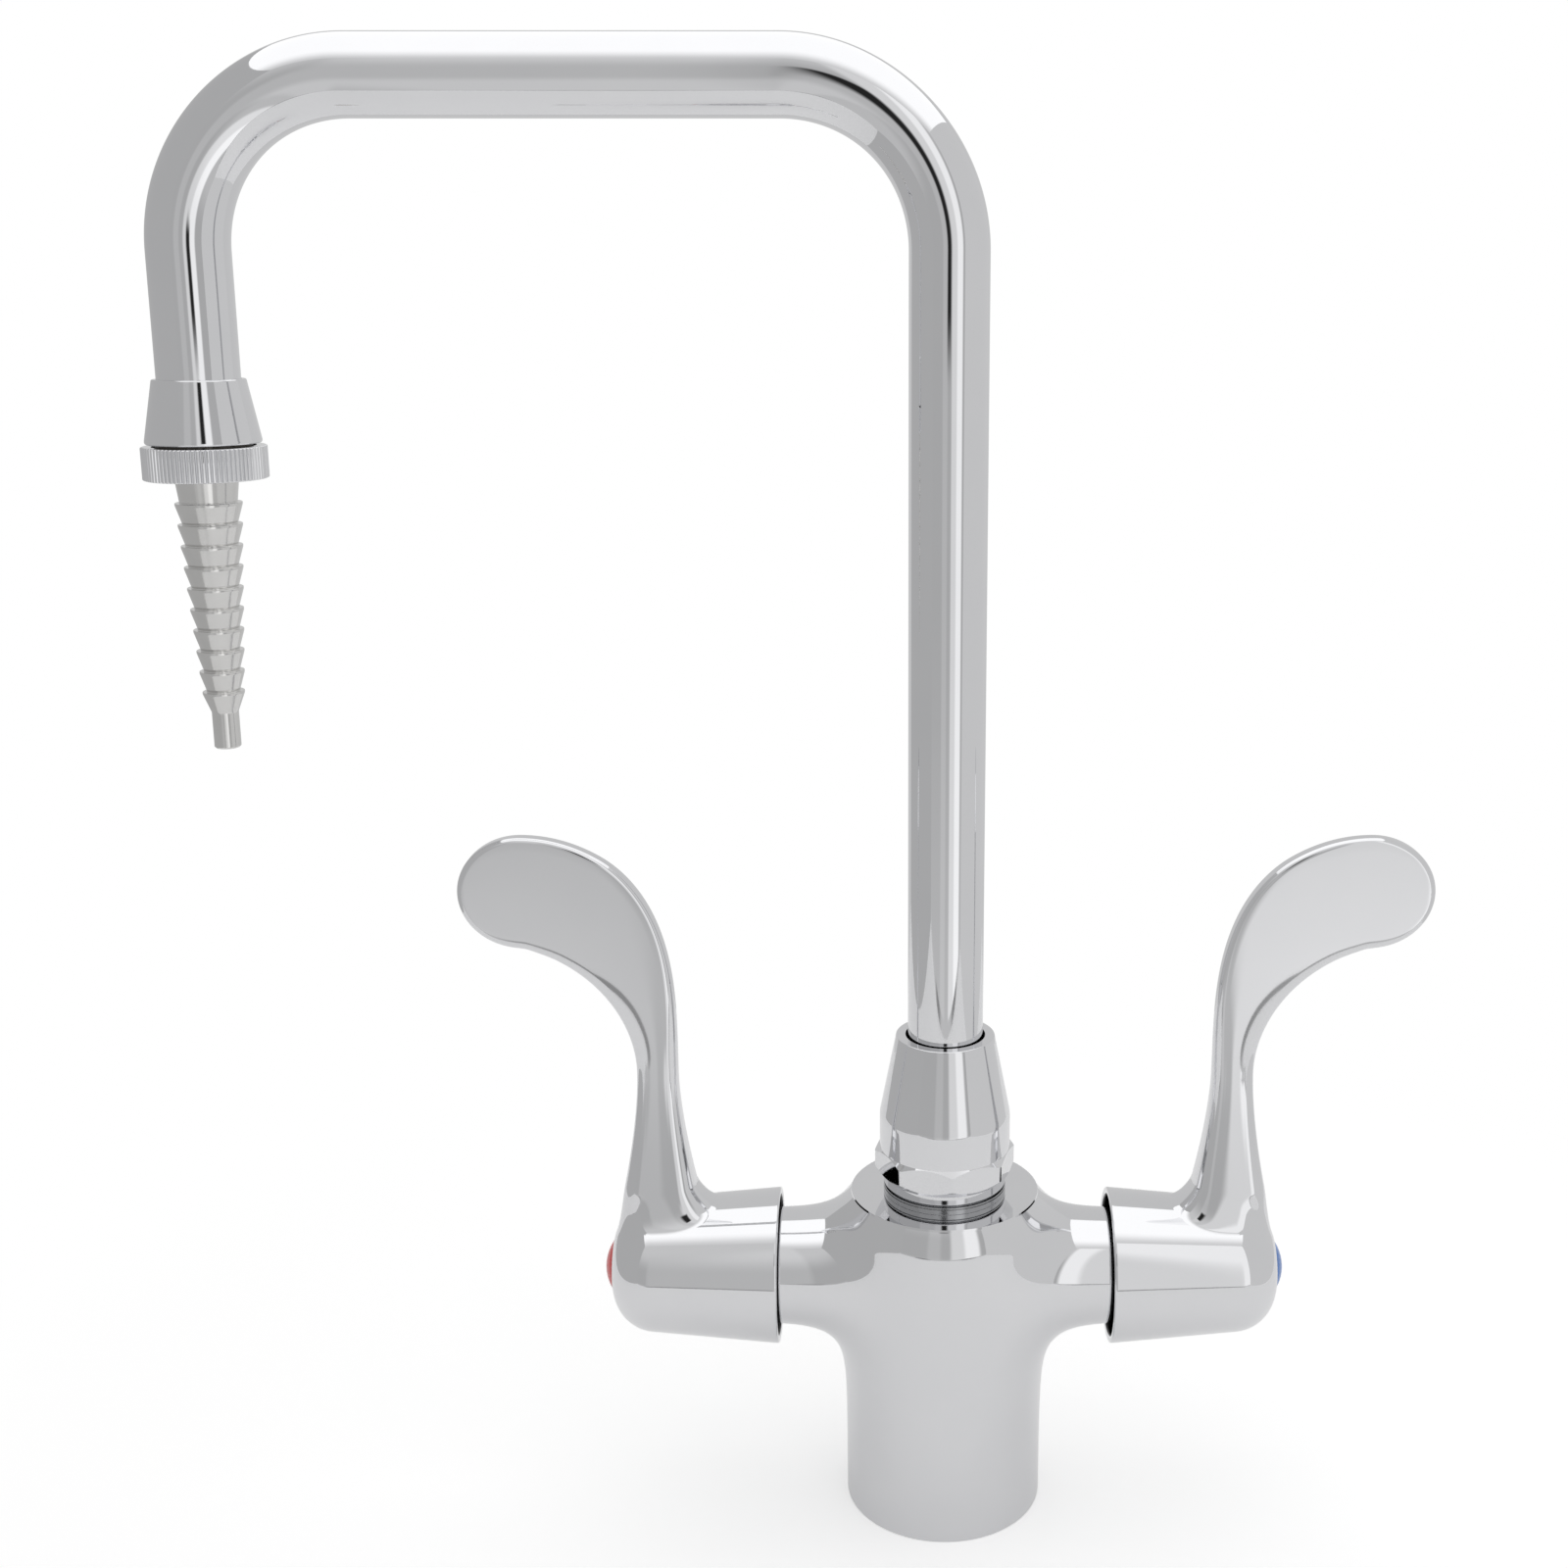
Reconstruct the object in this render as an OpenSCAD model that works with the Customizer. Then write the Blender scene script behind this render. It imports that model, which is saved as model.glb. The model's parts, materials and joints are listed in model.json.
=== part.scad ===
// Laboratory mixer tap: a column body with two quarter-turn valves, a swivelling
// riser spout with two right-angle bends, and a serrated hose nozzle.
// Origin: centre of the deck face. +Z up, spout towards -X, user on the -Y side.

/* [Body] */
// Radius of the column that stands on the deck
column_r = 25.5; // [23:0.5:30]
// Height of the body from the deck to its flat top
body_h = 86.2; // [84:0.1:95]
// Height over which the column eases in below the flat top
crown_h = 12; // [8:0.5:20]
// How far the column eases in at the flat top
crown_in = 2.3; // [0.5:0.1:3]
// Chamfer round the foot of the column
foot_chamfer = 0.5; // [0.2:0.1:1.5]

/* [Arms] */
// Height of the valve axis above the deck
arm_axis_z = 64.3; // [60:0.1:68]
// Radius of the two side arms
arm_r = 14.5; // [13.5:0.1:16]
// Distance from the tap's axis to the end of an arm
arm_end = 47; // [45:0.5:50]
// Radius of the blend between an arm and the column
arm_fillet = 12; // [6:0.5:14]
// Depth to which the blend's edges sink into the column and the arm
blend_sink = 0.2; // [0.1:0.05:0.4]

/* [Deck mounting] */
// Inner radius of the gasket's groove
gasket_in_r = 20; // [19:0.1:21]
// Outer radius of the gasket's groove
gasket_out_r = 23; // [22:0.1:24]
// Depth of the gasket's groove
gasket_t = 2; // [1:0.1:3]
// Distance of each inlet from the tap's axis
inlet_x = 13.5; // [12:0.1:15]
// Radius of an inlet's tapped hole
inlet_r = 4.5; // [4:0.1:5.5]
// Depth of an inlet's tapped hole
inlet_depth = 15; // [10:0.5:20]
// Distance of each fixing stud's hole from the tap's axis
stud_y = 14; // [11:0.5:15]
// Radius of a stud's tapped hole
stud_r = 3.4; // [2.5:0.1:4.2]
// Depth of a stud's tapped hole
stud_depth = 18; // [12:0.5:25]

/* [Waterways] */
// Radius of the passage from an inlet to its valve seat
passage_r = 3.5; // [2.5:0.1:4]
// Distance of each valve seat from the tap's axis
seat_x = 20; // [19:0.1:21]
// Radius of the valve chamber in an arm
chamber_r = 10.5; // [10:0.1:11]
// Radius of the mixing chamber under the spout
mix_r = 8; // [6:0.1:9]
// Radius of the cross passage from the valves to the mixing chamber
cross_r = 2.7; // [2:0.1:3]
// Height of the cross passage above the valve axis
cross_up = 7.2; // [7:0.1:7.5]

/* [Valve cartridges] */
// Clearance of a running fit, on the radius
run_gap = 0.06; // [0.03:0.01:0.1]
// Clearance of a thread or a pressed seat, on the radius
seat_gap = 0.08; // [0.05:0.01:0.15]
// Clearance between flat faces that slide on each other
face_gap = 0.05; // [0.03:0.01:0.1]
// Clearance of an O-ring in its groove, on its section's radius
o_ring_gap = 0.03; // [0.02:0.01:0.05]
// Thickness of the rubber seal on the valve seat
seal_t = 2.6; // [1.5:0.1:3.5]
// Radius of a ceramic disc
disc_r = 7.6; // [7:0.1:8]
// Thickness of a ceramic disc
disc_t = 3.2; // [2.5:0.1:4]
// Radius of each port through a ceramic disc
port_r = 2.2; // [1.5:0.1:2.5]
// Distance of a disc's ports from its centre
port_off = 4; // [3.6:0.1:4.6]
// Clearance between a ceramic disc and the barrel
disc_gap = 0.2; // [0.1:0.05:0.3]
// Distance of the barrel's inner end from the valve seat
barrel_setback = 0.6; // [0.4:0.1:1.2]
// Wall of the cartridge barrel round the discs
barrel_wall = 1.5; // [1:0.1:2]
// Length of the cartridge's thread in the arm
thread_len = 11; // [9:0.5:12]
// Thickness of the gasket under the cartridge's hexagon
flange_gasket_t = 1.2; // [0.8:0.1:2]
// Width across the flats of the cartridge's hexagon
cartridge_af = 24; // [23.5:0.5:26]
// Length of the cartridge's hexagon
cartridge_hex_t = 4.5; // [3:0.5:5]
// Radius of the cartridge's neck
neck_r = 7.5; // [6.5:0.1:9]
// Length of the cartridge's neck
neck_len = 3.5; // [2:0.5:5]

/* [Spindles] */
// Radius of a spindle
spindle_r = 5; // [4.5:0.1:5.5]
// Length of the spindle's foot behind the turning disc
foot_len = 5; // [4:0.5:6]
// Radius of the O-ring's section on the spindle
stem_ring_r = 0.85; // [0.6:0.05:0.95]
// Thickness of the spindle's retaining clip
clip_t = 1; // [0.6:0.1:1.2]
// Outer radius of the retaining clip
clip_r = 7; // [6.5:0.1:7.5]
// Depth of the clip's groove
clip_groove = 1; // [0.5:0.1:1.4]
// Clearance past the end of a shank, a spline or a clip, along the axis
end_gap = 0.5; // [0.3:0.1:1]
// Step from the spindle down to the tips of its spline
spline_step = 0.3; // [0.2:0.05:0.5]
// Length of the spline that carries the handle
spline_len = 11; // [8:0.5:12]
// Number of spline teeth
spline_teeth = 20; // [16:1:24]
// Height of a spline tooth
spline_tooth = 0.5; // [0.3:0.05:0.7]

/* [Handle hubs] */
// Distance from the tap's axis to the hub's open end
hub_start = 42.6; // [42:0.1:44]
// Distance from the tap's axis to the hub's outer face
hub_end = 86; // [85:0.5:92]
// Radius of the hub at its open end
hub_r = 19.75; // [19:0.05:22]
// Radius lost along the hub, per millimetre
hub_taper = 0.086; // [0:0.002:0.1]
// Radius of the rounding at the hub's outer end
hub_round = 11.5; // [8:0.5:12]
// Wall of the hub's skirt
skirt_t = 1.8; // [1.2:0.1:2.4]
// Radius of the handle screw's shank
screw_r = 2.5; // [2:0.1:2.8]
// Radius of the handle screw's head
screw_head_r = 4.4; // [4:0.1:5]
// Thickness of the handle screw's head
screw_head_t = 3; // [2:0.1:3.5]
// Radius of an index button
button_r = 6.6; // [6:0.1:7.2]
// Length of the index button's plug inside the hub
button_plug = 4; // [3:0.1:5]
// Height of the index button's dome above the hub's outer face
button_dome = 2.2; // [1.5:0.1:3]

/* [Wrist blades] */
// Distance from the tap's axis to the middle of a blade's neck
blade_x = 73.3; // [71:0.1:75]
// Height of the blade's narrowest place above the valve axis
blade_neck_h = 53.7; // [45:0.5:60]
// Width of the blade's neck
blade_neck_w = 10.5; // [9:0.1:13]
// Width of the blade's palm
blade_palm_w = 28.8; // [24:0.1:34]
// Height of the palm's middle above the neck
blade_rise = 48.2; // [40:0.5:56]
// Sideways reach of the bend from the neck to the palm
blade_bend = 32.7; // [28:0.1:40]
// Length of the palm's rounded end
blade_tip = 15.9; // [12:0.1:18]
// Thickness of the blade at its neck
blade_neck_t = 10; // [8:0.5:12]
// Thickness of the palm
blade_palm_t = 6; // [4.5:0.1:8]
// Height above the valve axis at which the blade starts inside the hub
blade_root_h = 9; // [8:0.5:12]
// Width of the blade at its start
blade_root_w = 23; // [18:0.5:24]
// Thickness of the blade at its start
blade_root_t = 18; // [14:0.5:22]

/* [Spout seat] */
// Radius of the spud's collar on the body
collar_r = 15.7; // [15:0.1:16.5]
// Height of the spud's collar
collar_h = 1.9; // [1.5:0.1:5]
// Radius of the spud's thread in the body
spud_stem_r = 11; // [10.5:0.1:12]
// Length of the spud's thread in the body
spud_stem_len = 11.5; // [8:0.5:12]
// Radius of the O-ring's section under the collar
spud_ring_r = 0.9; // [0.6:0.05:1.2]
// Radius of the spud's upper thread
spud_r = 14.2; // [13.8:0.1:14.3]
// Length of the spud's upper thread
spud_len = 15.5; // [13:0.5:18]
// Radius of the spud's bore, in which the sleeve turns
spud_bore_r = 11.7; // [11.5:0.1:12]
// Depth of that bore
spud_bore_len = 14; // [12:0.5:14.5]

/* [Riser nut] */
// Height of the riser nut
nut_h = 40.2; // [36:0.1:46]
// Radius of the nut's round part
nut_r = 16.7; // [16.3:0.1:18]
// Radius of the nut's upper rim
nut_top_r = 12.5; // [11.8:0.1:14]
// Height of the nut's cone
nut_cone_h = 21.1; // [15:0.1:24]
// Number of flats for the spanner
nut_flats = 8; // [6:2:12]
// Distance by which the flats stand proud of the nut's round part
nut_flat_out = 0.1; // [0.05:0.05:1]
// Height of the flats' upper end above the nut's foot
nut_flat_h = 10.2; // [9:0.1:12]
// Angle by which the tightened nut's corners are turned from the front
nut_turn = 5; // [0:1:45]
// Radius of the round band at the nut's foot
nut_foot_r = 15.7; // [15.2:0.1:16]
// Height of the round band at the nut's foot
nut_band_h = 2.7; // [1:0.1:3.5]
// Clearance round the tube at the nut's rim
nut_tube_gap = 0.6; // [0.4:0.1:1]
// Gap between the nut's foot and the spud's collar
nut_foot_gap = 0.2; // [0.1:0.05:0.5]

/* [Spout] */
// Outer radius of the spout's tube
tube_r = 9.525; // [9.1:0.005:9.6]
// Wall of the spout's tube
tube_wall = 1.2; // [0.8:0.1:1.6]
// Height of the level run's centre above the deck
run_z = 360.4; // [320:0.1:420]
// Distance from the riser to the drop leg
reach = 176.4; // [140:0.1:230]
// Radius of the two bends, at the tube's centre
bend_r = 39; // [30:0.5:50]
// Outer radius of the swivel sleeve's flange
flange_r = 13.3; // [12.8:0.1:13.6]
// Thickness of the swivel sleeve's flange
flange_t = 3; // [2:0.1:4]
// Thickness of the lip on which the tube stands
sleeve_lip = 1; // [0.6:0.1:2]
// Gap between the sleeve's foot and the bottom of the spud's bore
sleeve_foot_gap = 1.5; // [0.5:0.1:2]
// Thickness of a thrust washer
thrust_t = 1; // [0.6:0.1:1.5]
// Radius of the O-rings' section on the sleeve
swivel_ring_r = 0.6; // [0.4:0.05:0.65]
// Spacing of the two O-rings on the sleeve
swivel_ring_step = 3.5; // [2.5:0.1:4]

/* [Outlet] */
// Height of the outlet collar's upper edge above the deck
outlet_top_z = 292.4; // [275:0.1:305]
// Height of the outlet collar's cone
outlet_h = 14.8; // [10:0.1:18]
// Radius of the outlet collar's upper edge
outlet_top_r = 10.6; // [10.4:0.1:11.5]
// Radius of the outlet collar's lower edge
outlet_r = 13.4; // [13:0.1:15]
// Radius of the rounding at the outlet collar's lower edge
outlet_round = 1.2; // [0.5:0.1:2]
// Length of tube inside the outlet collar
outlet_socket = 11; // [6:0.5:12]
// Gap between the outlet collar and the coupling ring
ring_gap = 0.8; // [0.5:0.1:2.5]
// Radius of the outlet's thread
outlet_thread_r = 11.8; // [11.4:0.1:12]
// Radius of the coupling ring
ring_r = 14.3; // [13.8:0.1:16]
// Height of the coupling ring
ring_h = 7.8; // [7:0.1:10]
// Number of ribs round the coupling ring
ring_ribs = 80; // [40:2:100]
// Depth of the grooves between the ribs
ring_rib_depth = 0.5; // [0.3:0.05:0.7]
// Chamfer at the coupling ring's edges
ring_chamfer = 0.4; // [0.3:0.1:1.2]
// Thickness of the coupling ring's shoulder
ring_shoulder = 1.5; // [1:0.1:2]

/* [Nozzle] */
// Radius of the nozzle's bore
nozzle_bore_r = 1.9; // [1:0.1:2.2]
// Thickness of the nozzle's flange
nozzle_flange_t = 1.4; // [1:0.1:2]
// Thickness of the nozzle's washer
nozzle_washer_t = 1.2; // [0.8:0.1:1.6]
// Radius of the nozzle's neck under the coupling ring
nozzle_neck_r = 7.3; // [7:0.1:8]
// Radius of the nozzle's neck above the first barb
nozzle_waist_r = 6.6; // [6:0.1:7]
// Length of the nozzle's neck below the coupling ring
nozzle_neck_len = 5.6; // [4:0.1:8]
// Number of barbs
barbs = 10; // [6:1:12]
// Distance from one barb to the next
barb_pitch = 5.1; // [4:0.1:6]
// Radius of the first barb
barb_first_r = 7.7; // [7.4:0.1:9]
// Radius of the last barb
barb_last_r = 4.9; // [4.5:0.1:6]
// Width of the flat lip round a barb
barb_lip = 0.5; // [0.3:0.1:1]
// Depth of the step under each barb
barb_step = 1.1; // [0.6:0.05:1.3]
// Radius of the nozzle's plain tip
tip_r = 3.15; // [2.8:0.05:3.3]
// Length of the nozzle's plain tip
tip_len = 9; // [6:0.1:14]
// Chamfer at the end of the tip
tip_chamfer = 0.4; // [0.2:0.1:0.6]

/* [Hidden] */
$fn = 96;
// Overlap of a cut past the face it opens
over = 1;
// Side of the tap on which a valve sits
hot = -1;
cold = 1;

// Crown: an arc that leaves the column upright and ends on the flat top
crown_r = (crown_h * crown_h + crown_in * crown_in) / (2 * crown_in);
column_top = body_h - crown_h;

// Blend between arm and column: a ball of the blend's radius rolls along both
ball_arm = arm_r + arm_fillet;
blend_steps = 40;
blend_arc_steps = 6;
// Depth of the blend's inner edge below the line where arm and column meet
blend_root = 3;

// Width of an O-ring's groove, as a multiple of the ring's section radius
groove_share = 2.6;

// Places along a valve's axis, from the tap's axis outwards
disc_start = seat_x + seal_t;
disc_end = disc_start + disc_t;
turning_start = disc_end + face_gap;
turning_end = turning_start + disc_t;
foot_start = turning_end + face_gap;
foot_end = foot_start + foot_len;
barrel_start = seat_x + barrel_setback;
bore_r = disc_r + disc_gap;
barrel_r = bore_r + barrel_wall;
cavity_end = foot_end + face_gap;
thread_start = arm_end - thread_len;
hex_start = arm_end + flange_gasket_t;
hex_end = hex_start + cartridge_hex_t;
neck_end = hex_end + neck_len;
clip_start = neck_end + face_gap;
clip_end = clip_start + clip_t;
spline_start = clip_end + end_gap / 2;
spline_end = spline_start + spline_len;
stem_ring_x = (cavity_end + neck_end) / 2;
stem_groove_r = spindle_r - 2 * stem_ring_r;
stem_groove_w = groove_share * stem_ring_r;
seal_r = disc_r - seat_gap;

// Places along a handle
web_start = spline_start + end_gap / 2;
socket_end = spline_end + end_gap;
button_start = hub_end - button_plug;
pocket_start = button_start - screw_head_t - end_gap;
pocket_r = button_r + seat_gap;
screw_start = spline_start + end_gap;
tapped_r = screw_r + seat_gap;
round_x = hub_end - hub_round;
taper_len = sqrt(1 + hub_taper * hub_taper);
round_r = hub_r - hub_taper * (round_x - hub_start) - hub_round * taper_len;
meet_x = round_x + hub_round * hub_taper / taper_len;
meet_r = round_r + hub_round / taper_len;

// Blade: rings of a rounded section along the middle line
blade_sides = 20;
blade_root_steps = 6;
blade_bend_steps = 12;
blade_tip_steps = 6;
// Angle of the bend at which the palm has its full width
palm_angle = 68;
// Growth of the neck towards the hub
root_power = 1.6;
// Squareness of the blade's section, where 2 is an ellipse
section_power = 2.8;
// Share of the tip's length at which the last ring closes the end
tip_close = 0.995;

// Places up the spout's axis
collar_top = body_h + collar_h;
spud_top = collar_top + spud_len;
spud_bore_z = spud_top - spud_bore_len;
flange_z = spud_top + thrust_t + face_gap;
flange_top = flange_z + flange_t;
shoulder_z = flange_top + face_gap + thrust_t;
sleeve_z = spud_bore_z + sleeve_foot_gap;
sleeve_r = spud_bore_r - seat_gap;
tube_seat_r = tube_r + seat_gap / 2;
tube_z = sleeve_z + sleeve_lip;
nut_z = collar_top + nut_foot_gap;
nut_top = nut_z + nut_h;
nut_cone_z = nut_top - nut_cone_h;
nut_thread_r = spud_r + seat_gap;
nut_corner_r = (nut_r + nut_flat_out) / cos(180 / nut_flats);
nut_flat_top = nut_z + nut_flat_h;
nut_band_top = nut_z + nut_band_h;
washer_in_r = tube_r + nut_tube_gap;
washer_out_r = nut_thread_r - 2 * run_gap;
swivel_groove_r = sleeve_r - 2 * swivel_ring_r;
swivel_groove_w = groove_share * swivel_ring_r;
swivel_ring_z = sleeve_z + swivel_ring_step;
spud_ring_z = body_h - spud_ring_r;
spud_ring_mid = spud_stem_r + spud_ring_r;

// Shares of a rib's pitch at which its land ends and its groove starts and ends
rib_land = 0.4;
groove_from = 0.55;
groove_to = 0.85;

// Places up the drop leg's axis
outlet_z = outlet_top_z - outlet_h;
tube_end_z = outlet_top_z - outlet_socket;
ring_top = outlet_z - ring_gap;
ring_z = ring_top - ring_h;
nozzle_flange_z = ring_z + ring_shoulder + face_gap;
nozzle_washer_z = nozzle_flange_z + nozzle_flange_t;
outlet_thread_z = nozzle_washer_z + nozzle_washer_t + face_gap;
ring_bore_r = outlet_thread_r + run_gap;
nozzle_flange_r = outlet_thread_r - 2 * run_gap;
water_r = tube_r - tube_wall;
ring_hole_r = nozzle_neck_r + 2 * run_gap;
barb_z = ring_z - nozzle_neck_len;
barb_end_z = barb_z - barbs * barb_pitch;
tip_z = barb_end_z - tip_len;

// Radius of the column at height z
function column_at(z) = z <= column_top ? column_r
  : column_r - crown_r + sqrt(crown_r * crown_r - (z - column_top) * (z - column_top));

function smooth(t) = t <= 0 ? 0 : t >= 1 ? 1 : t * t * (3 - 2 * t);
function mix(a, b, t) = a + (b - a) * t;
function signed_power(v, p) = sign(v) * pow(abs(v), p);

// Turns local +Z into the outward direction of the right-hand valve
module along_arm() {
  translate([0, 0, arm_axis_z])
    rotate([0, 90, 0])
      children();
}

// Puts what is made for the right-hand valve on either side
module to_side(side) {
  if (side < 0)
    mirror([1, 0, 0])
      children();
  else
    children();
}

// A ring or tube from z0 to z1
module tube(r_out, r_in, z0, z1) {
  difference() {
    translate([0, 0, z0])
      cylinder(r = r_out, h = z1 - z0);
    translate([0, 0, z0 - over])
      cylinder(r = r_in, h = z1 - z0 + 2 * over);
  }
}

// A rod from z0 to z1
module rod(r, z0, z1) {
  translate([0, 0, z0])
    cylinder(r = r, h = z1 - z0);
}

// An O-ring of section radius r at height z
module o_ring(mid_r, r, z) {
  translate([0, 0, z])
    rotate_extrude()
      translate([mid_r, 0])
        circle(r);
}

// Half outline of the column with its crown and foot chamfer
module column_outline() {
  difference() {
    union() {
      square([column_r, column_top]);
      intersection() {
        translate([0, column_top])
          square([column_r, crown_h]);
        translate([column_r - crown_r, column_top])
          circle(crown_r, $fn = 360);
      }
    }
    polygon([
      [column_r - foot_chamfer, -over],
      [column_r + over, -over],
      [column_r + over, foot_chamfer + over],
      [column_r, foot_chamfer],
      [column_r - foot_chamfer, 0]
    ]);
  }
}

// One cross-section of the blend at angle a round the arm: the rolling ball's arc
// between the arm and the column, closed by a point inside both
function blend_ring(a) =
  let (
    cy = ball_arm * cos(a),
    cz = ball_arm * sin(a),
    ball_column = column_at(arm_axis_z + cz) + arm_fillet,
    cx = sqrt(ball_column * ball_column - cy * cy),
    on_arm = [0, -cos(a), -sin(a)],
    on_column = [-cx / ball_column, -cy / ball_column, 0],
    arc = acos(on_arm * on_column),
    r = arm_fillet + blend_sink,
    meet_y = (arm_r - blend_root) * cos(a),
    meet_z = (arm_r - blend_root) * sin(a),
    meet_column = column_at(arm_axis_z + meet_z) - blend_root
  )
  concat(
    [for (i = [0 : blend_arc_steps])
      let (
        t = i / blend_arc_steps,
        d = (sin((1 - t) * arc) * on_arm + sin(t * arc) * on_column) / sin(arc)
      )
      [cx, cy, cz] + r * d],
    [[sqrt(meet_column * meet_column - meet_y * meet_y), meet_y, meet_z]]
  );

// Closed skin over rings of points, with the last ring joined to the first
module ring_loop(rings) {
  n = len(rings);
  m = len(rings[0]);
  polyhedron(
    points = [for (ring = rings) each ring],
    faces = [for (i = [0 : n - 1], j = [0 : m - 1], k = [0, 1])
      let (
        a = i * m + j,
        b = i * m + (j + 1) % m,
        c = ((i + 1) % n) * m + (j + 1) % m,
        d = ((i + 1) % n) * m + j
      )
      k == 0 ? [a, c, b] : [a, d, c]]
  );
}

// Closed skin over rings of points, with flat ends
module ring_stack(rings) {
  n = len(rings);
  m = len(rings[0]);
  polyhedron(
    points = [for (ring = rings) each ring],
    faces = concat(
      [[for (j = [0 : m - 1]) j]],
      [for (i = [0 : n - 2], j = [0 : m - 1], k = [0, 1])
        let (
          a = i * m + j,
          b = i * m + (j + 1) % m,
          c = (i + 1) * m + (j + 1) % m,
          d = (i + 1) * m + j
        )
        k == 0 ? [a, c, b] : [a, d, c]],
      [[for (j = [m - 1 : -1 : 0]) (n - 1) * m + j]]
    )
  );
}

module arm_blend() {
  intersection() {
    translate([0, 0, arm_axis_z])
      ring_loop([for (i = [0 : blend_steps - 1]) blend_ring(360 * i / blend_steps)]);
    linear_extrude(height = body_h)
      square(2 * hub_end, center = true);
  }
}

module body_casting() {
  color("silver")
    difference() {
      union() {
        rotate_extrude()
          column_outline();
        for (side = [hot, cold])
          to_side(side) {
            along_arm()
              rod(arm_r, 0, arm_end);
            arm_blend();
          }
      }
      tube(gasket_out_r, gasket_in_r, -over, gasket_t);
      rod(spud_stem_r, body_h - spud_stem_len - end_gap, body_h + over);
      o_ring_seat();
      rod(mix_r, arm_axis_z + cross_up - cross_r, body_h);
      for (y = [-stud_y, stud_y])
        translate([0, y, 0])
          rod(stud_r, -over, stud_depth);
      for (side = [hot, cold])
        to_side(side)
          waterway();
    }
}

// Groove in the body's top for the O-ring under the spud's collar
module o_ring_seat() {
  rod(spud_ring_mid + spud_ring_r + seat_gap, body_h - 2 * spud_ring_r, body_h + over);
}

// Inlet, passage, seat, valve chamber and cross passage of the right-hand valve
module waterway() {
  translate([inlet_x, 0, 0]) {
    rod(inlet_r, -over, inlet_depth);
    rod(passage_r, 0, arm_axis_z);
  }
  along_arm() {
    rod(passage_r, inlet_x - passage_r, seat_x + over);
    rod(chamber_r, seat_x, arm_end + over);
    translate([-cross_up, 0, 0])
      rod(cross_r, 0, seat_x + over);
  }
}

module base_gasket() {
  color("dimgray")
    tube(gasket_out_r - seat_gap, gasket_in_r + seat_gap, 0, gasket_t);
}

module spout_spud() {
  color("gray")
    difference() {
      union() {
        rod(spud_stem_r - seat_gap, body_h - spud_stem_len, body_h);
        rod(collar_r, body_h, collar_top);
        rod(spud_r, collar_top, spud_top);
      }
      rod(mix_r, body_h - spud_stem_len - over, spud_top);
      rod(spud_bore_r, spud_bore_z, spud_top + over);
    }
}

module spud_o_ring() {
  color("black")
    o_ring(spud_ring_mid, spud_ring_r - o_ring_gap, spud_ring_z);
}

module lower_thrust_washer() {
  color("white")
    tube(washer_out_r, spud_bore_r, spud_top, spud_top + thrust_t);
}

module upper_thrust_washer() {
  color("white")
    tube(washer_out_r, washer_in_r, flange_top + face_gap, shoulder_z);
}

// Half outline of the riser nut's cone and round part, down to behind the flats
module nut_outline() {
  polygon([
    [0, nut_flat_top - over],
    [nut_r, nut_flat_top - over],
    [nut_r, nut_cone_z],
    [nut_top_r, nut_top],
    [0, nut_top]
  ]);
}

// Half outline that chamfers the corners between the flats, with the round band below
module nut_chamfer_outline() {
  past_corner = nut_corner_r + over;
  polygon([
    [0, nut_z],
    [nut_foot_r, nut_z],
    [nut_foot_r, nut_band_top],
    [past_corner, nut_band_top + past_corner - nut_foot_r],
    [past_corner, nut_flat_top - past_corner + nut_r],
    [nut_r - over, nut_flat_top + over],
    [0, nut_flat_top + over]
  ]);
}

module riser_nut() {
  color("silver")
    difference() {
      union() {
        rotate_extrude()
          nut_outline();
        intersection() {
          translate([0, 0, nut_z])
            rotate([0, 0, nut_turn])
              cylinder(r = nut_corner_r, h = nut_h, $fn = nut_flats);
          rotate_extrude()
            nut_chamfer_outline();
        }
      }
      rod(nut_thread_r, nut_z - over, shoulder_z);
      rod(washer_in_r, shoulder_z - over, nut_top + over);
    }
}

// Two ports through a ceramic disc
module disc_ports(z0, z1) {
  for (y = [-port_off, port_off])
    translate([0, y, 0])
      rod(port_r, z0 - over, z1 + over);
}

module cartridge_body(side) {
  color("darkgoldenrod")
    to_side(side)
      along_arm()
        difference() {
          union() {
            rod(barrel_r, barrel_start, thread_start);
            rod(chamber_r - seat_gap, thread_start, hex_start);
            translate([0, 0, hex_start])
              cylinder(r = cartridge_af / sqrt(3), h = cartridge_hex_t, $fn = 6);
            rod(neck_r, hex_end, neck_end);
          }
          rod(bore_r, barrel_start - over, cavity_end);
          rod(spindle_r + run_gap, cavity_end - over, neck_end + over);
          translate([0, 0, (foot_start + foot_end) / 2])
            rotate([90, 0, 0])
              cylinder(r = port_r, h = 2 * chamber_r + over, center = true);
        }
}

module cartridge_gasket(side) {
  color("firebrick")
    to_side(side)
      along_arm()
        tube(cartridge_af / 2, chamber_r, arm_end, hex_start);
}

module seat_seal(side) {
  color("black")
    to_side(side)
      along_arm()
        tube(seal_r, port_off + port_r + seat_gap, seat_x, disc_start);
}

module fixed_disc(side) {
  color("ivory")
    to_side(side)
      along_arm()
        difference() {
          rod(disc_r, disc_start, disc_end);
          disc_ports(disc_start, disc_end);
        }
}

module turning_disc(side) {
  color("ivory")
    to_side(side)
      along_arm()
        rotate([0, 0, 90])
          difference() {
            rod(disc_r, turning_start, turning_end);
            disc_ports(turning_start, turning_end);
          }
}

// Toothed outline of the spline, grown by gap
module spline_outline(gap) {
  polygon([for (i = [0 : 2 * spline_teeth - 1])
    let (
      r = spindle_r - spline_step - (i % 2) * spline_tooth + gap,
      a = 180 * i / spline_teeth
    )
    [r * cos(a), r * sin(a)]]);
}

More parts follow.
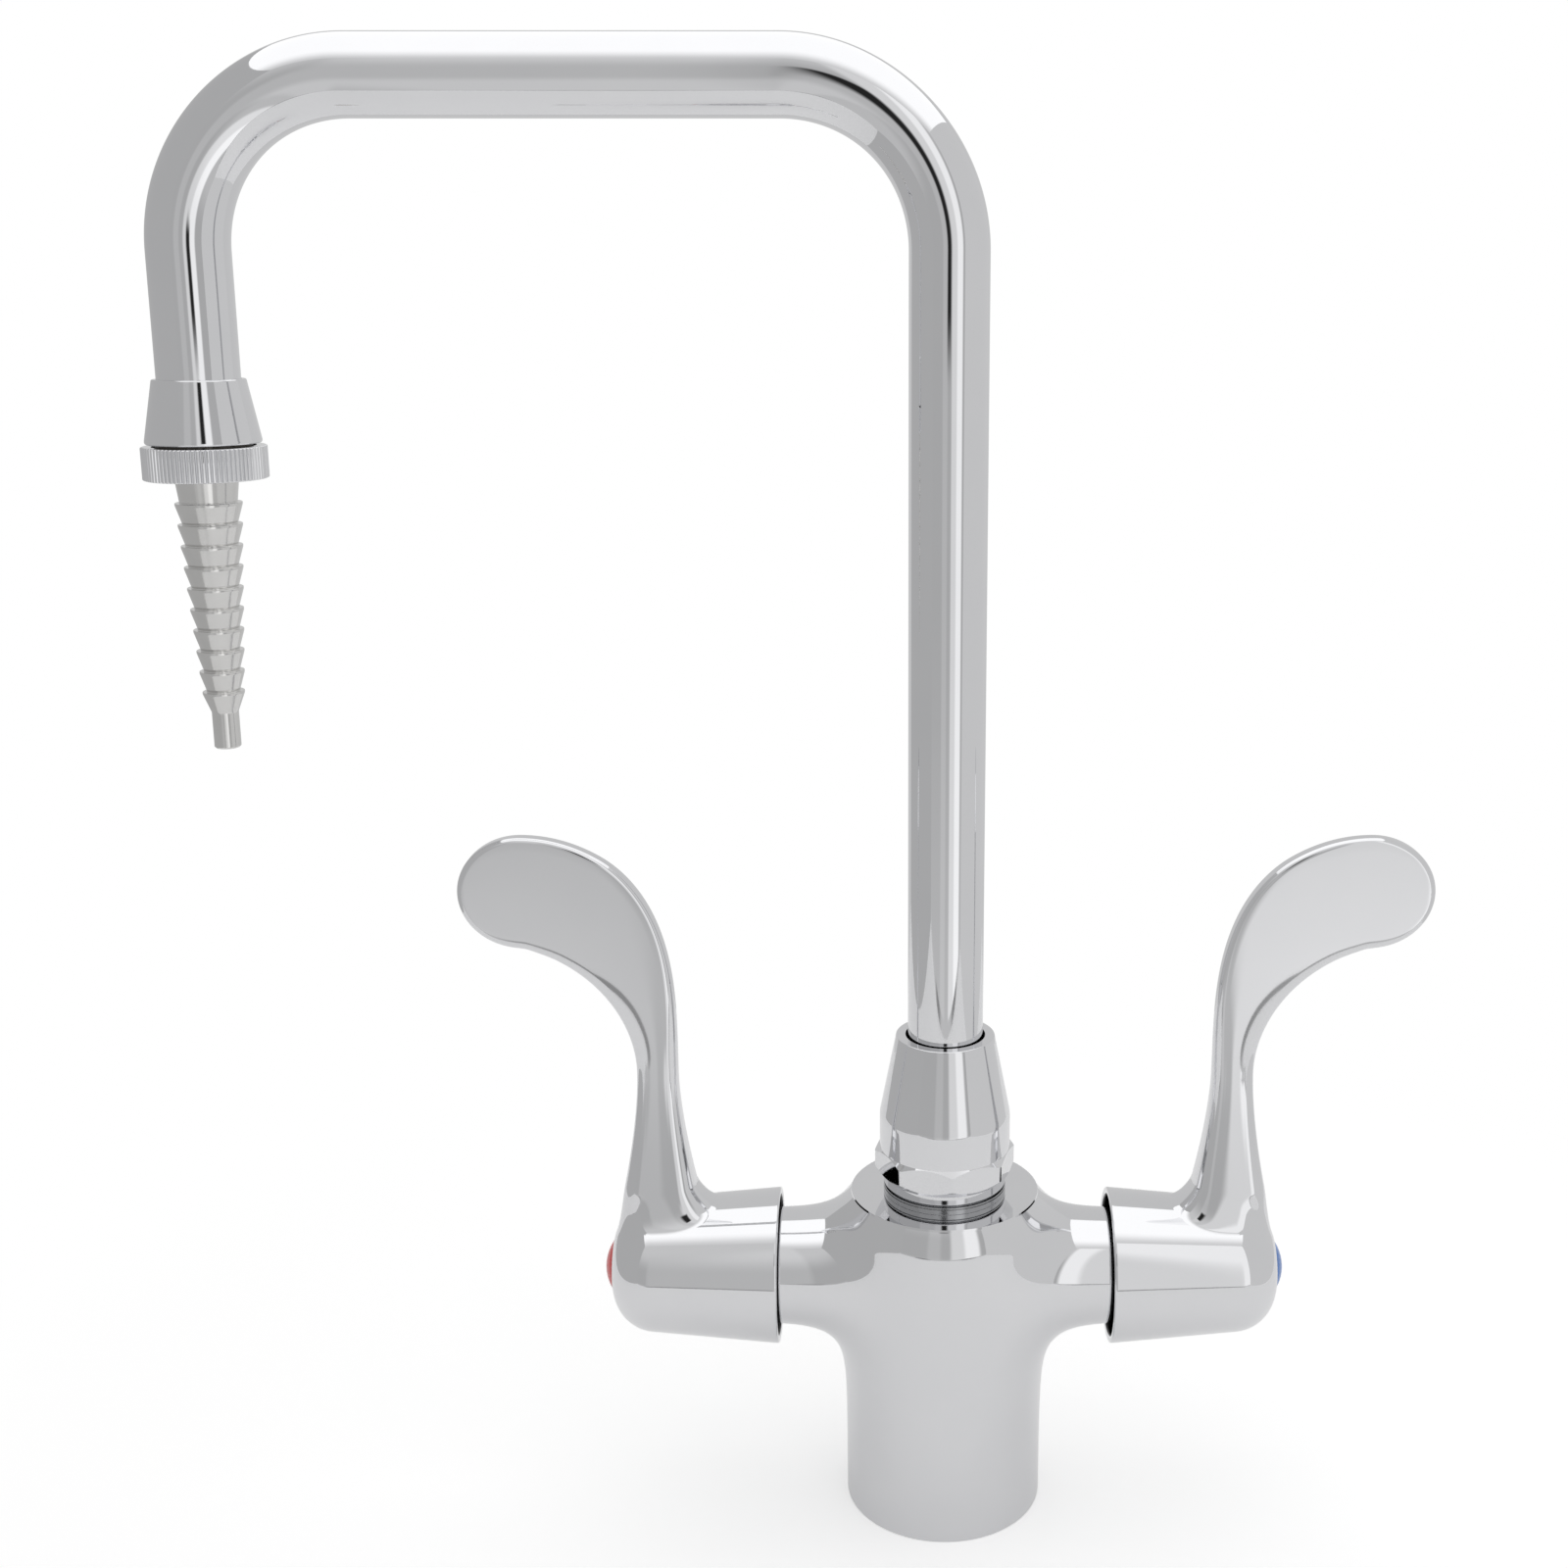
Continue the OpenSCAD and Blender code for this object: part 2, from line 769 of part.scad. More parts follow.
module spindle(side) {
  color("goldenrod")
    to_side(side)
      along_arm()
        difference() {
          union() {
            difference() {
              rod(disc_r, foot_start, foot_end);
              translate([0, 0, foot_start + foot_len / 2])
                cube([2 * port_r, 2 * disc_r + over, foot_len + over], center = true);
            }
            rod(spindle_r, foot_start + foot_len / 2, spline_start);
            translate([0, 0, spline_start])
              linear_extrude(height = spline_len)
                spline_outline(0);
          }
          tube(spindle_r + over, stem_groove_r,
            stem_ring_x - stem_groove_w / 2, stem_ring_x + stem_groove_w / 2);
          tube(spindle_r + over, spindle_r - clip_groove, clip_start, clip_end);
          rod(tapped_r, screw_start, spline_end + over);
        }
}

module stem_o_ring(side) {
  color("black")
    to_side(side)
      along_arm()
        o_ring(stem_groove_r + stem_ring_r, stem_ring_r - o_ring_gap, stem_ring_x);
}

module spindle_clip(side) {
  color("lightsteelblue")
    to_side(side)
      along_arm()
        difference() {
          tube(clip_r, spindle_r - clip_groove + seat_gap, clip_start, clip_end);
          translate([clip_r, 0, clip_start + clip_t / 2])
            cube([2 * clip_r, spindle_r, 2 * clip_t], center = true);
        }
}

// Half outline of the hub, tapered and with a rounded outer end
module hub_outline() {
  intersection() {
    union() {
      polygon([
        [0, hub_start],
        [hub_r, hub_start],
        [meet_r, meet_x],
        [round_r, round_x],
        [round_r, hub_end],
        [0, hub_end]
      ]);
      translate([round_r, round_x])
        circle(hub_round);
    }
    translate([0, hub_start])
      square([hub_r, hub_end - hub_start]);
  }
}

// Half outline of the hollow inside the hub's skirt
module skirt_outline() {
  polygon([
    [0, hub_start - over],
    [hub_r - skirt_t + hub_taper * over, hub_start - over],
    [hub_r - skirt_t - hub_taper * (web_start - hub_start), web_start],
    [0, web_start]
  ]);
}

// One ring of the blade: centre, sideways direction, half width and half thickness
function blade_ring(c, across, w, h) =
  [for (j = [0 : blade_sides - 1])
    let (
      a = 360 * j / blade_sides,
      s = w * signed_power(cos(a), 2 / section_power),
      t = h * signed_power(sin(a), 2 / section_power)
    )
    [c[0] + s * across[0], t, c[1] + s * across[1]]];

// Straight stem of the blade, growing towards the hub
function blade_root_ring(t) =
  let (grow = pow(1 - t, root_power))
  blade_ring([blade_x, mix(blade_root_h, blade_neck_h, t)], [1, 0],
    mix(blade_neck_w, blade_root_w, grow) / 2,
    mix(blade_neck_t, blade_root_t, grow) / 2);

// Quarter-ellipse bend from the neck to the palm
function blade_bend_ring(a) =
  let (
    t = smooth(a / palm_angle),
    along = [blade_bend * sin(a), blade_rise * cos(a)],
    across = [along[1], -along[0]] / norm(along)
  )
  blade_ring(
    [blade_x + blade_bend * (1 - cos(a)), blade_neck_h + blade_rise * sin(a)], across,
    mix(blade_neck_w, blade_palm_w, t) / 2,
    mix(blade_neck_t, blade_palm_t, t) / 2);

// Rounded end of the palm
function blade_tip_ring(t) =
  let (round = sqrt(1 - t * t))
  blade_ring(
    [blade_x + blade_bend + blade_tip * t, blade_neck_h + blade_rise], [0, -1],
    blade_palm_w / 2 * round,
    blade_palm_t / 2 * sqrt(round));

module wrist_blade() {
  translate([0, 0, arm_axis_z])
    ring_stack(concat(
      [for (i = [0 : blade_root_steps - 1]) blade_root_ring(i / blade_root_steps)],
      [for (i = [0 : blade_bend_steps - 1]) blade_bend_ring(90 * i / blade_bend_steps)],
      [for (i = [0 : blade_tip_steps]) blade_tip_ring(tip_close * sin(90 * i / blade_tip_steps))]
    ));
}

module handle(side) {
  color("silver")
    to_side(side)
      difference() {
        union() {
          along_arm()
            rotate_extrude()
              hub_outline();
          wrist_blade();
        }
        along_arm() {
          rotate_extrude()
            skirt_outline();
          translate([0, 0, web_start - over])
            linear_extrude(height = socket_end - web_start + over)
              spline_outline(seat_gap);
          rod(tapped_r, socket_end - over, pocket_start + over);
          rod(pocket_r, pocket_start, hub_end + over);
        }
      }
}

module handle_screw(side) {
  color("lightgray")
    to_side(side)
      along_arm()
        difference() {
          union() {
            rod(screw_r, screw_start + end_gap, pocket_start);
            rod(screw_head_r, pocket_start, pocket_start + screw_head_t);
          }
          translate([0, 0, pocket_start + screw_head_t / 2])
            cylinder(r = screw_head_r / 2, h = screw_head_t, $fn = 6);
        }
}

// Half outline of the index button: a plug with a domed end
module button_outline() {
  dome_r = (button_r * button_r + button_dome * button_dome) / (2 * button_dome);
  translate([0, button_start])
    square([button_r, button_plug]);
  intersection() {
    translate([0, hub_end])
      square([button_r, button_dome]);
    translate([0, hub_end + button_dome - dome_r])
      circle(dome_r);
  }
}

module index_button(side) {
  color(side < 0 ? "red" : "blue")
    to_side(side)
      along_arm()
        rotate_extrude()
          button_outline();
}

// Solid path of the spout at radius r, from the sleeve to the outlet
module spout_path(r, z_start, z_end) {
  bend_z = run_z - bend_r;
  rod(r, z_start, bend_z);
  translate([-bend_r, 0, bend_z])
    rotate([90, 0, 0])
      rotate_extrude(angle = 90)
        translate([bend_r, 0])
          circle(r);
  translate([-bend_r, 0, run_z])
    rotate([0, -90, 0])
      cylinder(r = r, h = reach - 2 * bend_r);
  translate([bend_r - reach, 0, bend_z])
    rotate([90, 0, 0])
      rotate([0, 0, 90])
        rotate_extrude(angle = 90)
          translate([bend_r, 0])
            circle(r);
  translate([-reach, 0, 0])
    rod(r, z_end, bend_z);
}

module spout_tube() {
  color("silver")
    difference() {
      spout_path(tube_r, tube_z, tube_end_z);
      spout_path(water_r, tube_z - over, tube_end_z - over);
    }
}

module swivel_sleeve() {
  color("goldenrod")
    difference() {
      union() {
        rod(sleeve_r, sleeve_z, flange_z);
        rod(flange_r, flange_z, flange_top);
      }
      rod(water_r, sleeve_z - over, tube_z + over);
      rod(tube_seat_r, tube_z, flange_top + over);
      for (i = [0, 1])
        tube(sleeve_r + over, swivel_groove_r,
          swivel_ring_z + i * swivel_ring_step - swivel_groove_w / 2,
          swivel_ring_z + i * swivel_ring_step + swivel_groove_w / 2);
    }
}

module swivel_o_rings() {
  color("black")
    for (i = [0, 1])
      o_ring(swivel_groove_r + swivel_ring_r, swivel_ring_r - o_ring_gap,
        swivel_ring_z + i * swivel_ring_step);
}

// Moves a piece to the drop leg's axis
module on_drop() {
  translate([-reach, 0, 0])
    children();
}

// Half outline of the outlet collar's coned sleeve with a rounded foot
module outlet_outline() {
  polygon([
    [0, outlet_z],
    [outlet_r - outlet_round, outlet_z],
    [outlet_r - outlet_round, outlet_z + outlet_round],
    [outlet_r, outlet_z + outlet_round],
    [outlet_top_r, outlet_top_z],
    [0, outlet_top_z]
  ]);
  translate([outlet_r - outlet_round, outlet_z + outlet_round])
    circle(outlet_round);
}

module outlet_collar() {
  color("silver")
    on_drop()
      difference() {
        union() {
          rotate_extrude()
            outlet_outline();
          rod(outlet_thread_r, outlet_thread_z, outlet_z + over);
        }
        rod(water_r, outlet_thread_z - over, outlet_top_z);
        rod(tube_seat_r, tube_end_z, outlet_top_z + over);
      }
}

module nozzle_washer() {
  color("black")
    on_drop()
      tube(nozzle_flange_r, water_r, nozzle_washer_z, nozzle_washer_z + nozzle_washer_t);
}

// Half outline of the nozzle from its flange down to its tip
module nozzle_outline() {
  barb_drop = (barb_first_r - barb_last_r) / (barbs - 1);
  polygon(concat(
    [
      [0, nozzle_washer_z],
      [nozzle_flange_r, nozzle_washer_z],
      [nozzle_flange_r, nozzle_flange_z],
      [nozzle_neck_r, nozzle_flange_z],
      [nozzle_neck_r, ring_z],
      [nozzle_waist_r, barb_z]
    ],
    [for (i = [0 : barbs - 1])
      let (
        z = barb_z - i * barb_pitch,
        r = barb_first_r - i * barb_drop,
        next = i < barbs - 1 ? r - barb_drop - barb_step : tip_r
      )
      each [[r, z], [r, z - barb_lip], [next, z - barb_pitch]]],
    [
      [tip_r, tip_z + tip_chamfer],
      [tip_r - tip_chamfer, tip_z],
      [0, tip_z]
    ]
  ));
}

module serrated_nozzle() {
  color("gray")
    on_drop()
      difference() {
        rotate_extrude()
          nozzle_outline();
        rod(nozzle_bore_r, tip_z - over, nozzle_washer_z + over);
      }
}

// Ribbed outline of the coupling ring
module ring_ribs_outline() {
  rib_angle = 360 / ring_ribs;
  groove_r = ring_r - ring_rib_depth;
  polygon([for (i = [0 : ring_ribs - 1])
    each [for (step = [[0, ring_r], [rib_land, ring_r], [groove_from, groove_r], [groove_to, groove_r]])
      let (a = (i + step[0]) * rib_angle)
      [step[1] * cos(a), step[1] * sin(a)]]]);
}

// Half outline that chamfers the coupling ring's two edges
module ring_chamfer_outline() {
  polygon([
    [0, ring_z],
    [ring_r - ring_chamfer, ring_z],
    [ring_r, ring_z + ring_chamfer],
    [ring_r, ring_top - ring_chamfer],
    [ring_r - ring_chamfer, ring_top],
    [0, ring_top]
  ]);
}

module coupling_ring() {
  color("silver")
    on_drop()
      difference() {
        intersection() {
          translate([0, 0, ring_z])
            linear_extrude(height = ring_h)
              ring_ribs_outline();
          rotate_extrude()
            ring_chamfer_outline();
        }
        rod(ring_hole_r, ring_z - over, ring_top);
        rod(ring_bore_r, ring_z + ring_shoulder, ring_top + over);
      }
}

body_casting();
base_gasket();
spout_spud();
spud_o_ring();
lower_thrust_washer();
upper_thrust_washer();
riser_nut();
cartridge_body(hot);  // hot_cartridge_body
cartridge_gasket(hot);  // hot_cartridge_gasket
seat_seal(hot);  // hot_seat_seal
fixed_disc(hot);  // hot_fixed_disc
cartridge_body(cold);  // cold_cartridge_body
cartridge_gasket(cold);  // cold_cartridge_gasket
seat_seal(cold);  // cold_seat_seal
fixed_disc(cold);  // cold_fixed_disc
turning_disc(hot);  // hot_turning_disc
spindle(hot);  // hot_spindle
stem_o_ring(hot);  // hot_stem_o_ring
spindle_clip(hot);  // hot_spindle_clip
handle(hot);  // hot_handle
handle_screw(hot);  // hot_handle_screw
index_button(hot);  // hot_index_button
turning_disc(cold);  // cold_turning_disc
spindle(cold);  // cold_spindle
stem_o_ring(cold);  // cold_stem_o_ring
spindle_clip(cold);  // cold_spindle_clip
handle(cold);  // cold_handle
handle_screw(cold);  // cold_handle_screw
index_button(cold);  // cold_index_button
spout_tube();
swivel_sleeve();
swivel_o_rings();
outlet_collar();
nozzle_washer();
serrated_nozzle();
coupling_ring();
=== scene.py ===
import json
from types import SimpleNamespace

import bmesh
import bpy
import numpy as np
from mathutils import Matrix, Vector
from mathutils.geometry import tessellate_polygon


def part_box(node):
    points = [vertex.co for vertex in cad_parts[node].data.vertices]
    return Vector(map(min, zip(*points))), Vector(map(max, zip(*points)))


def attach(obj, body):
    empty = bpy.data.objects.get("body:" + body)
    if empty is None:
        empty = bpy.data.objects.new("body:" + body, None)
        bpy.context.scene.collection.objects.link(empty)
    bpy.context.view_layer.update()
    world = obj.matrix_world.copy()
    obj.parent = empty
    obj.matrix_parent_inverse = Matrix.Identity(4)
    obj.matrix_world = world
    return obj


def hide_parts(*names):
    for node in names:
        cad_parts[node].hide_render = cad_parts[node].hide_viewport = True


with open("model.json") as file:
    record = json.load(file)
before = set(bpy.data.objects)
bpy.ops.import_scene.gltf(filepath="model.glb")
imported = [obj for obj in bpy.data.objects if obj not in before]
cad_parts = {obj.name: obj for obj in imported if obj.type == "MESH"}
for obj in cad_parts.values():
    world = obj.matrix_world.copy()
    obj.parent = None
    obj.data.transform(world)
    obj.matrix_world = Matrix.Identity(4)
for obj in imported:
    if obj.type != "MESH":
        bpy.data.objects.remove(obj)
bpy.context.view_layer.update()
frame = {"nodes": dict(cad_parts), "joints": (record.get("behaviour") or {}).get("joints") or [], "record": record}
mm = 0.001
slotOf = {part["node"]: part["material_slot"] for part in frame["record"]["subparts"]}
jointOf = {joint["name"]: joint for joint in frame["joints"]}
print("frame:", len(frame["nodes"]), "CAD nodes")


# Shapes: every surface is worked out in millimetres, on grids of points

def nodeBox(name):
    # lowest and highest corner of a CAD node
    low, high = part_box(name)
    return np.array(low) / mm, np.array(high) / mm


def softOutline(corners, steps=5, longest=0.42, beside=0.15):
    # outline through corners (radius, height, rounding). A rounded corner p is the curve
    # (1-t)^2 a + 2t(1-t) p + t^2 b between a and b on its two straights. It takes at most the longest share
    # of a straight, and one more point beside a and b keeps the shading of the straights even
    corners = np.array(corners, float)
    points = corners[:, :2]
    t = np.linspace(0, 1, steps + 1)[:, None]
    rows = [points[:1]]
    for before, corner, after, size in zip(points[:-2], points[1:-1], points[2:], corners[1:-1, 2]):
        if size == 0:
            rows.append(corner[None])
            continue
        back, ahead = before - corner, after - corner
        backLength, aheadLength = np.linalg.norm(back), np.linalg.norm(ahead)
        cut = min(size, longest * backLength, longest * aheadLength)
        back, ahead = back / backLength, ahead / aheadLength
        a, b = corner + cut * back, corner + cut * ahead
        rows += [(a + beside * cut * back)[None],
                 (1 - t) ** 2 * a + 2 * t * (1 - t) * corner + t ** 2 * b,
                 (b + beside * cut * ahead)[None]]
    rows.append(points[-1:])
    return np.concatenate(rows)


def lathe(outline, turns=192):
    # outline (r, z) carried round the upright axis: x = r cos a, y = r sin a
    a = np.linspace(0, 2 * np.pi, turns + 1)
    r, z = outline[:, :1], outline[:, 1:]
    return np.stack([r * np.cos(a), r * np.sin(a), z + 0 * a], axis=-1)


def alongArm(points):
    # turns a shape from the upright axis to the arms' axis, so that its height runs along +x
    return np.stack([points[..., 2], points[..., 1], axisZ - points[..., 0]], axis=-1)


def mirrored(grid, axis):
    # the same grid on the other side: one coordinate changes its sign
    flipped = grid.copy()
    flipped[..., axis] *= -1
    return flipped


def plateWithHoles(loops):
    # flat plate inside the first loop of points and outside the others
    points = np.concatenate(loops)
    faces = tessellate_polygon([[Vector(point) for point in loop] for loop in loops])
    return points, [tuple(face) for face in faces]


def makePiece(name, grids, body, nodes, material, sharp=35, plates=(), weld=0.0015):
    # grids become quads between neighbouring points; seams and poles are welded, faces are turned
    # outwards, and edges sharper than the stated angle in degrees stay crisp
    points, faces, start = [], [], 0
    for grid in grids:
        rows, cols = grid.shape[:2]
        i, j = np.meshgrid(np.arange(rows - 1), np.arange(cols - 1), indexing="ij")
        first = (i * cols + j).ravel() + start
        faces += np.stack([first, first + 1, first + cols + 1, first + cols], axis=1).tolist()
        points.append(grid.reshape(-1, 3))
        start += rows * cols
    for platePoints, plateFaces in plates:
        faces += [[corner + start for corner in face] for face in plateFaces]
        points.append(platePoints)
        start += len(platePoints)
    mesh = bpy.data.meshes.new(name)
    mesh.from_pydata(np.concatenate(points) * mm, [], faces)
    shell = bmesh.new()
    shell.from_mesh(mesh)
    bmesh.ops.remove_doubles(shell, verts=shell.verts, dist=weld * mm)
    bmesh.ops.recalc_face_normals(shell, faces=shell.faces)
    shell.to_mesh(mesh)
    shell.free()
    mesh.shade_smooth()
    mesh.set_sharp_from_angle(angle=np.radians(sharp))
    mesh.materials.append(material)
    piece = bpy.data.objects.new(name, mesh)
    bpy.context.scene.collection.objects.link(piece)
    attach(piece, body)
    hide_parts(*nodes)


# Finishes

class Wire:
    # a shader socket that takes part in sums
    def __init__(self, tree, socket=None):
        self.tree = tree
        self.socket = socket

    def make(self, kind, settings=None, sockets=None, out=0):
        # any node: its type, its settings, the values or links of its sockets, and the output to go on with
        node = self.tree.nodes.new(kind)
        for key, value in (settings or {}).items():
            setattr(node, key, value)
        for key, value in (sockets or {}).items():
            if isinstance(value, Wire):
                self.tree.links.new(value.socket, node.inputs[key])
            else:
                node.inputs[key].default_value = value
        return Wire(self.tree, node.outputs[out] if len(node.outputs) else None)

    def math(self, operation, *values):
        return self.make("ShaderNodeMath", {"operation": operation}, dict(enumerate(values)))

    def __add__(self, other):
        return self.math("ADD", self, other)

    def __radd__(self, other):
        return self.math("ADD", other, self)

    def __sub__(self, other):
        return self.math("SUBTRACT", self, other)

    def __rsub__(self, other):
        return self.math("SUBTRACT", other, self)

    def __mul__(self, other):
        return self.math("MULTIPLY", self, other)

    def __rmul__(self, other):
        return self.math("MULTIPLY", other, self)


def newMaterial(name):
    material = bpy.data.materials.new(name)
    material.use_nodes = True
    material.node_tree.nodes.clear()
    return material, Wire(material.node_tree)


def setSurface(wire, shader):
    wire.make("ShaderNodeOutputMaterial", None, {"Surface": shader})


def objectPlace(wire):
    return wire.make("ShaderNodeTexCoord", out="Object")


def split(wire, place):
    # the three coordinates of a place
    node = wire.make("ShaderNodeSeparateXYZ", None, {0: place}).socket.node
    return [Wire(wire.tree, socket) for socket in node.outputs]


def noise(wire, place, scale, detail):
    return wire.make("ShaderNodeTexNoise", None, {"Vector": place, "Scale": scale, "Detail": detail})


def mixed(wire, share, first, second):
    # a colour from the first to the second, by a share
    first, second = (shade if isinstance(shade, Wire) else (*shade, 1) for shade in (first, second))
    return wire.make("ShaderNodeMix", {"data_type": "RGBA"}, {0: share, 6: first, 7: second}, out=2)


def bumped(wire, height, depth):
    # depth in millimetres
    return wire.make("ShaderNodeBump", None, {"Strength": 1.0, "Distance": depth * mm, "Height": height})


def plateFinish(name, look):
    # polished plate: an even colour, a haze that comes and goes, and long low waves from polishing. A thread
    # below a stated height is unplated and painted dark as the shade in its gap, and a bore of a stated size along
    # the arms' axis is painted dark as the shade inside it
    material, wire = newMaterial(name)
    place = objectPlace(wire)
    haze = noise(wire, place, look["hazeScale"], patternLook["hazeDetail"])
    waves = noise(wire, place, look["waveScale"], patternLook["waveDetail"])
    shade = mixed(wire, haze, look["shadeA"], look["shadeB"])
    if "threadTop" in look:
        # painted shade: below this height the unplated thread is darkened to stand for the shadowed gap under the
        # cone
        shadeMask = wire.math("LESS_THAN", split(wire, place)[2], look["threadTop"] * mm)
        shade = mixed(wire, shadeMask, shade, look["bareShade"])
    if "boreR" in look:
        # painted shade: inside this bore the plate is darkened as if unlit
        x, y, z = split(wire, place)
        up = z - axisZ * mm
        shadeMask = (wire.math("LESS_THAN", y * y + up * up, (look["boreR"] * mm) ** 2)
                * wire.math("LESS_THAN", wire.math("ABSOLUTE", x), look["boreEnd"] * mm))
        shade = mixed(wire, shadeMask, shade, look["bareShade"])
    setSurface(wire, wire.make("ShaderNodeBsdfPrincipled", None, {
        "Base Color": shade, "Metallic": 1.0, "Roughness": look["rough"] + look["haze"] * haze,
        "Normal": bumped(wire, waves, look["waveDepth"])}))
    return material


def turnedFinish(name, look):
    # lathe-turned metal: fine rings along the height, slightly uneven, with duller spots
    material, wire = newMaterial(name)
    place = objectPlace(wire)
    rings = wire.make("ShaderNodeTexWave", {"wave_type": "BANDS", "bands_direction": "Z"}, {
        "Vector": place, "Scale": look["ringScale"], "Distortion": patternLook["ringBend"],
        "Detail": patternLook["ringDetail"]}, out=1)
    spots = noise(wire, place, look["spotScale"], patternLook["grainDetail"])
    setSurface(wire, wire.make("ShaderNodeBsdfPrincipled", None, {
        "Base Color": mixed(wire, spots, look["shadeA"], look["shadeB"]), "Metallic": 1.0,
        "Roughness": look["rough"] + look["haze"] * spots, "Normal": bumped(wire, rings, look["ringDepth"])}))
    return material


def matteFinish(name, look):
    # rubber, nylon, fibre or ceramic: a grain in the colour and a grain in the surface
    material, wire = newMaterial(name)
    grain = noise(wire, objectPlace(wire), look["grainScale"], patternLook["grainDetail"])
    setSurface(wire, wire.make("ShaderNodeBsdfPrincipled", None, {
        "Base Color": mixed(wire, grain, look["shadeA"], look["shadeB"]),
        "Roughness": look["rough"] + patternLook["grainHaze"] * grain,
        "Coat Weight": look.get("coat", 0.0), "Normal": bumped(wire, grain, look["grainDepth"])}))
    return material


patternLook = dict(hazeDetail=5.0, waveDetail=1.0, grainDetail=4.0, grainHaze=0.1, ringBend=1.2,
                   ringDetail=2.0)
# the last colour here is painted shade, for the thread in the gap under the outlet's cone
chromeLook = dict(shadeA=(0.765, 0.768, 0.785), shadeB=(0.795, 0.797, 0.81), rough=0.025, haze=0.03,
                  hazeScale=60.0, waveScale=55.0, waveDepth=0.012, bareShade=(0.06, 0.055, 0.05))
indexLook = dict(rough=0.22, grainScale=250.0, grainDepth=0.01, coat=0.4)
finishes = {
    "chrome_plate": plateFinish("chromePlate", chromeLook),
    "chrome_tube": plateFinish("chromeTube", dict(
        chromeLook, rough=0.02, haze=0.02, hazeScale=80.0, waveScale=30.0, waveDepth=0.006)),
    "dull_plate": plateFinish("dullPlate", dict(
        shadeA=(0.44, 0.445, 0.455), shadeB=(0.50, 0.505, 0.515), rough=0.12, haze=0.1, hazeScale=300.0,
        waveScale=120.0, waveDepth=0.01)),
    "turned_nozzle": turnedFinish("turnedNozzle", dict(
        shadeA=(0.67, 0.665, 0.655), shadeB=(0.75, 0.745, 0.735), rough=0.08, haze=0.08, spotScale=180.0,
        ringScale=1200.0, ringDepth=0.003)),
    "bare_brass": turnedFinish("bareBrass", dict(
        shadeA=(0.70, 0.50, 0.22), shadeB=(0.80, 0.60, 0.30), rough=0.2, haze=0.15, spotScale=150.0,
        ringScale=1200.0, ringDepth=0.006)),
    "plain_steel": turnedFinish("plainSteel", dict(
        shadeA=(0.52, 0.52, 0.52), shadeB=(0.62, 0.62, 0.62), rough=0.25, haze=0.1, spotScale=200.0,
        ringScale=1500.0, ringDepth=0.005)),
    "black_rubber": matteFinish("blackRubber", dict(
        shadeA=(0.012, 0.012, 0.012), shadeB=(0.03, 0.03, 0.03), rough=0.5, grainScale=900.0,
        grainDepth=0.02)),
    "white_nylon": matteFinish("whiteNylon", dict(
        shadeA=(0.78, 0.77, 0.73), shadeB=(0.86, 0.85, 0.82), rough=0.35, grainScale=500.0, grainDepth=0.01)),
    "red_fibre": matteFinish("redFibre", dict(
        shadeA=(0.28, 0.06, 0.04), shadeB=(0.42, 0.11, 0.07), rough=0.7, grainScale=1200.0, grainDepth=0.04)),
    "white_ceramic": matteFinish("whiteCeramic", dict(
        shadeA=(0.84, 0.83, 0.80), shadeB=(0.90, 0.89, 0.87), rough=0.2, grainScale=700.0, grainDepth=0.004)),
    "red_index": matteFinish("redIndex", dict(
        indexLook, shadeA=(0.60, 0.010, 0.012), shadeB=(0.68, 0.016, 0.018))),
    "blue_index": matteFinish("blueIndex", dict(
        indexLook, shadeA=(0.03, 0.15, 0.50), shadeB=(0.045, 0.19, 0.58))),
}
for name, node in frame["nodes"].items():
    node.data.materials.clear()
    node.data.materials.append(finishes[slotOf[name]])
print("finishes:", len(finishes))


# Body: a round column whose upper part draws in, two arms, and a soft flow between them

bodyHigh = nodeBox("body_casting")[1]
axisZ = jointOf["cold_lever_turn"]["pos_m"][2] / mm
bodyLook = dict(armR=14.5, fillet=11.7, frontFillet=15.0, filletSoft=3.0, flow=6.0, flowTop=3.2,
                flowFrom=16.0, crownH=8.6, crownIn=2.1, rimDrop=0.05, rimInset=0.1, foot=0.5, armBore=10.5,
                boreDepth=11.0, ringSeat=12.85, seatDepth=1.8, spudBore=11.0, spudDepth=12.0, grooveIn=20.0,
                grooveOut=23.0, grooveDepth=2.0, inletX=13.5, inletR=4.5, inletDepth=15.0, studY=14.0,
                studR=3.4, studDepth=18.0, drillCone=0.4, holeTurns=48, aroundArm=97, aroundColumn=97,
                blendSteps=25, armSteps=13, lowSteps=13, passes=12, leanMost=0.9, steepLeast=0.05,
                riseLeast=0.05)


def crownRadius(look):
    # radius of the arc that draws in by crownIn over crownH
    return (look.crownH ** 2 + look.crownIn ** 2) / (2 * look.crownIn)


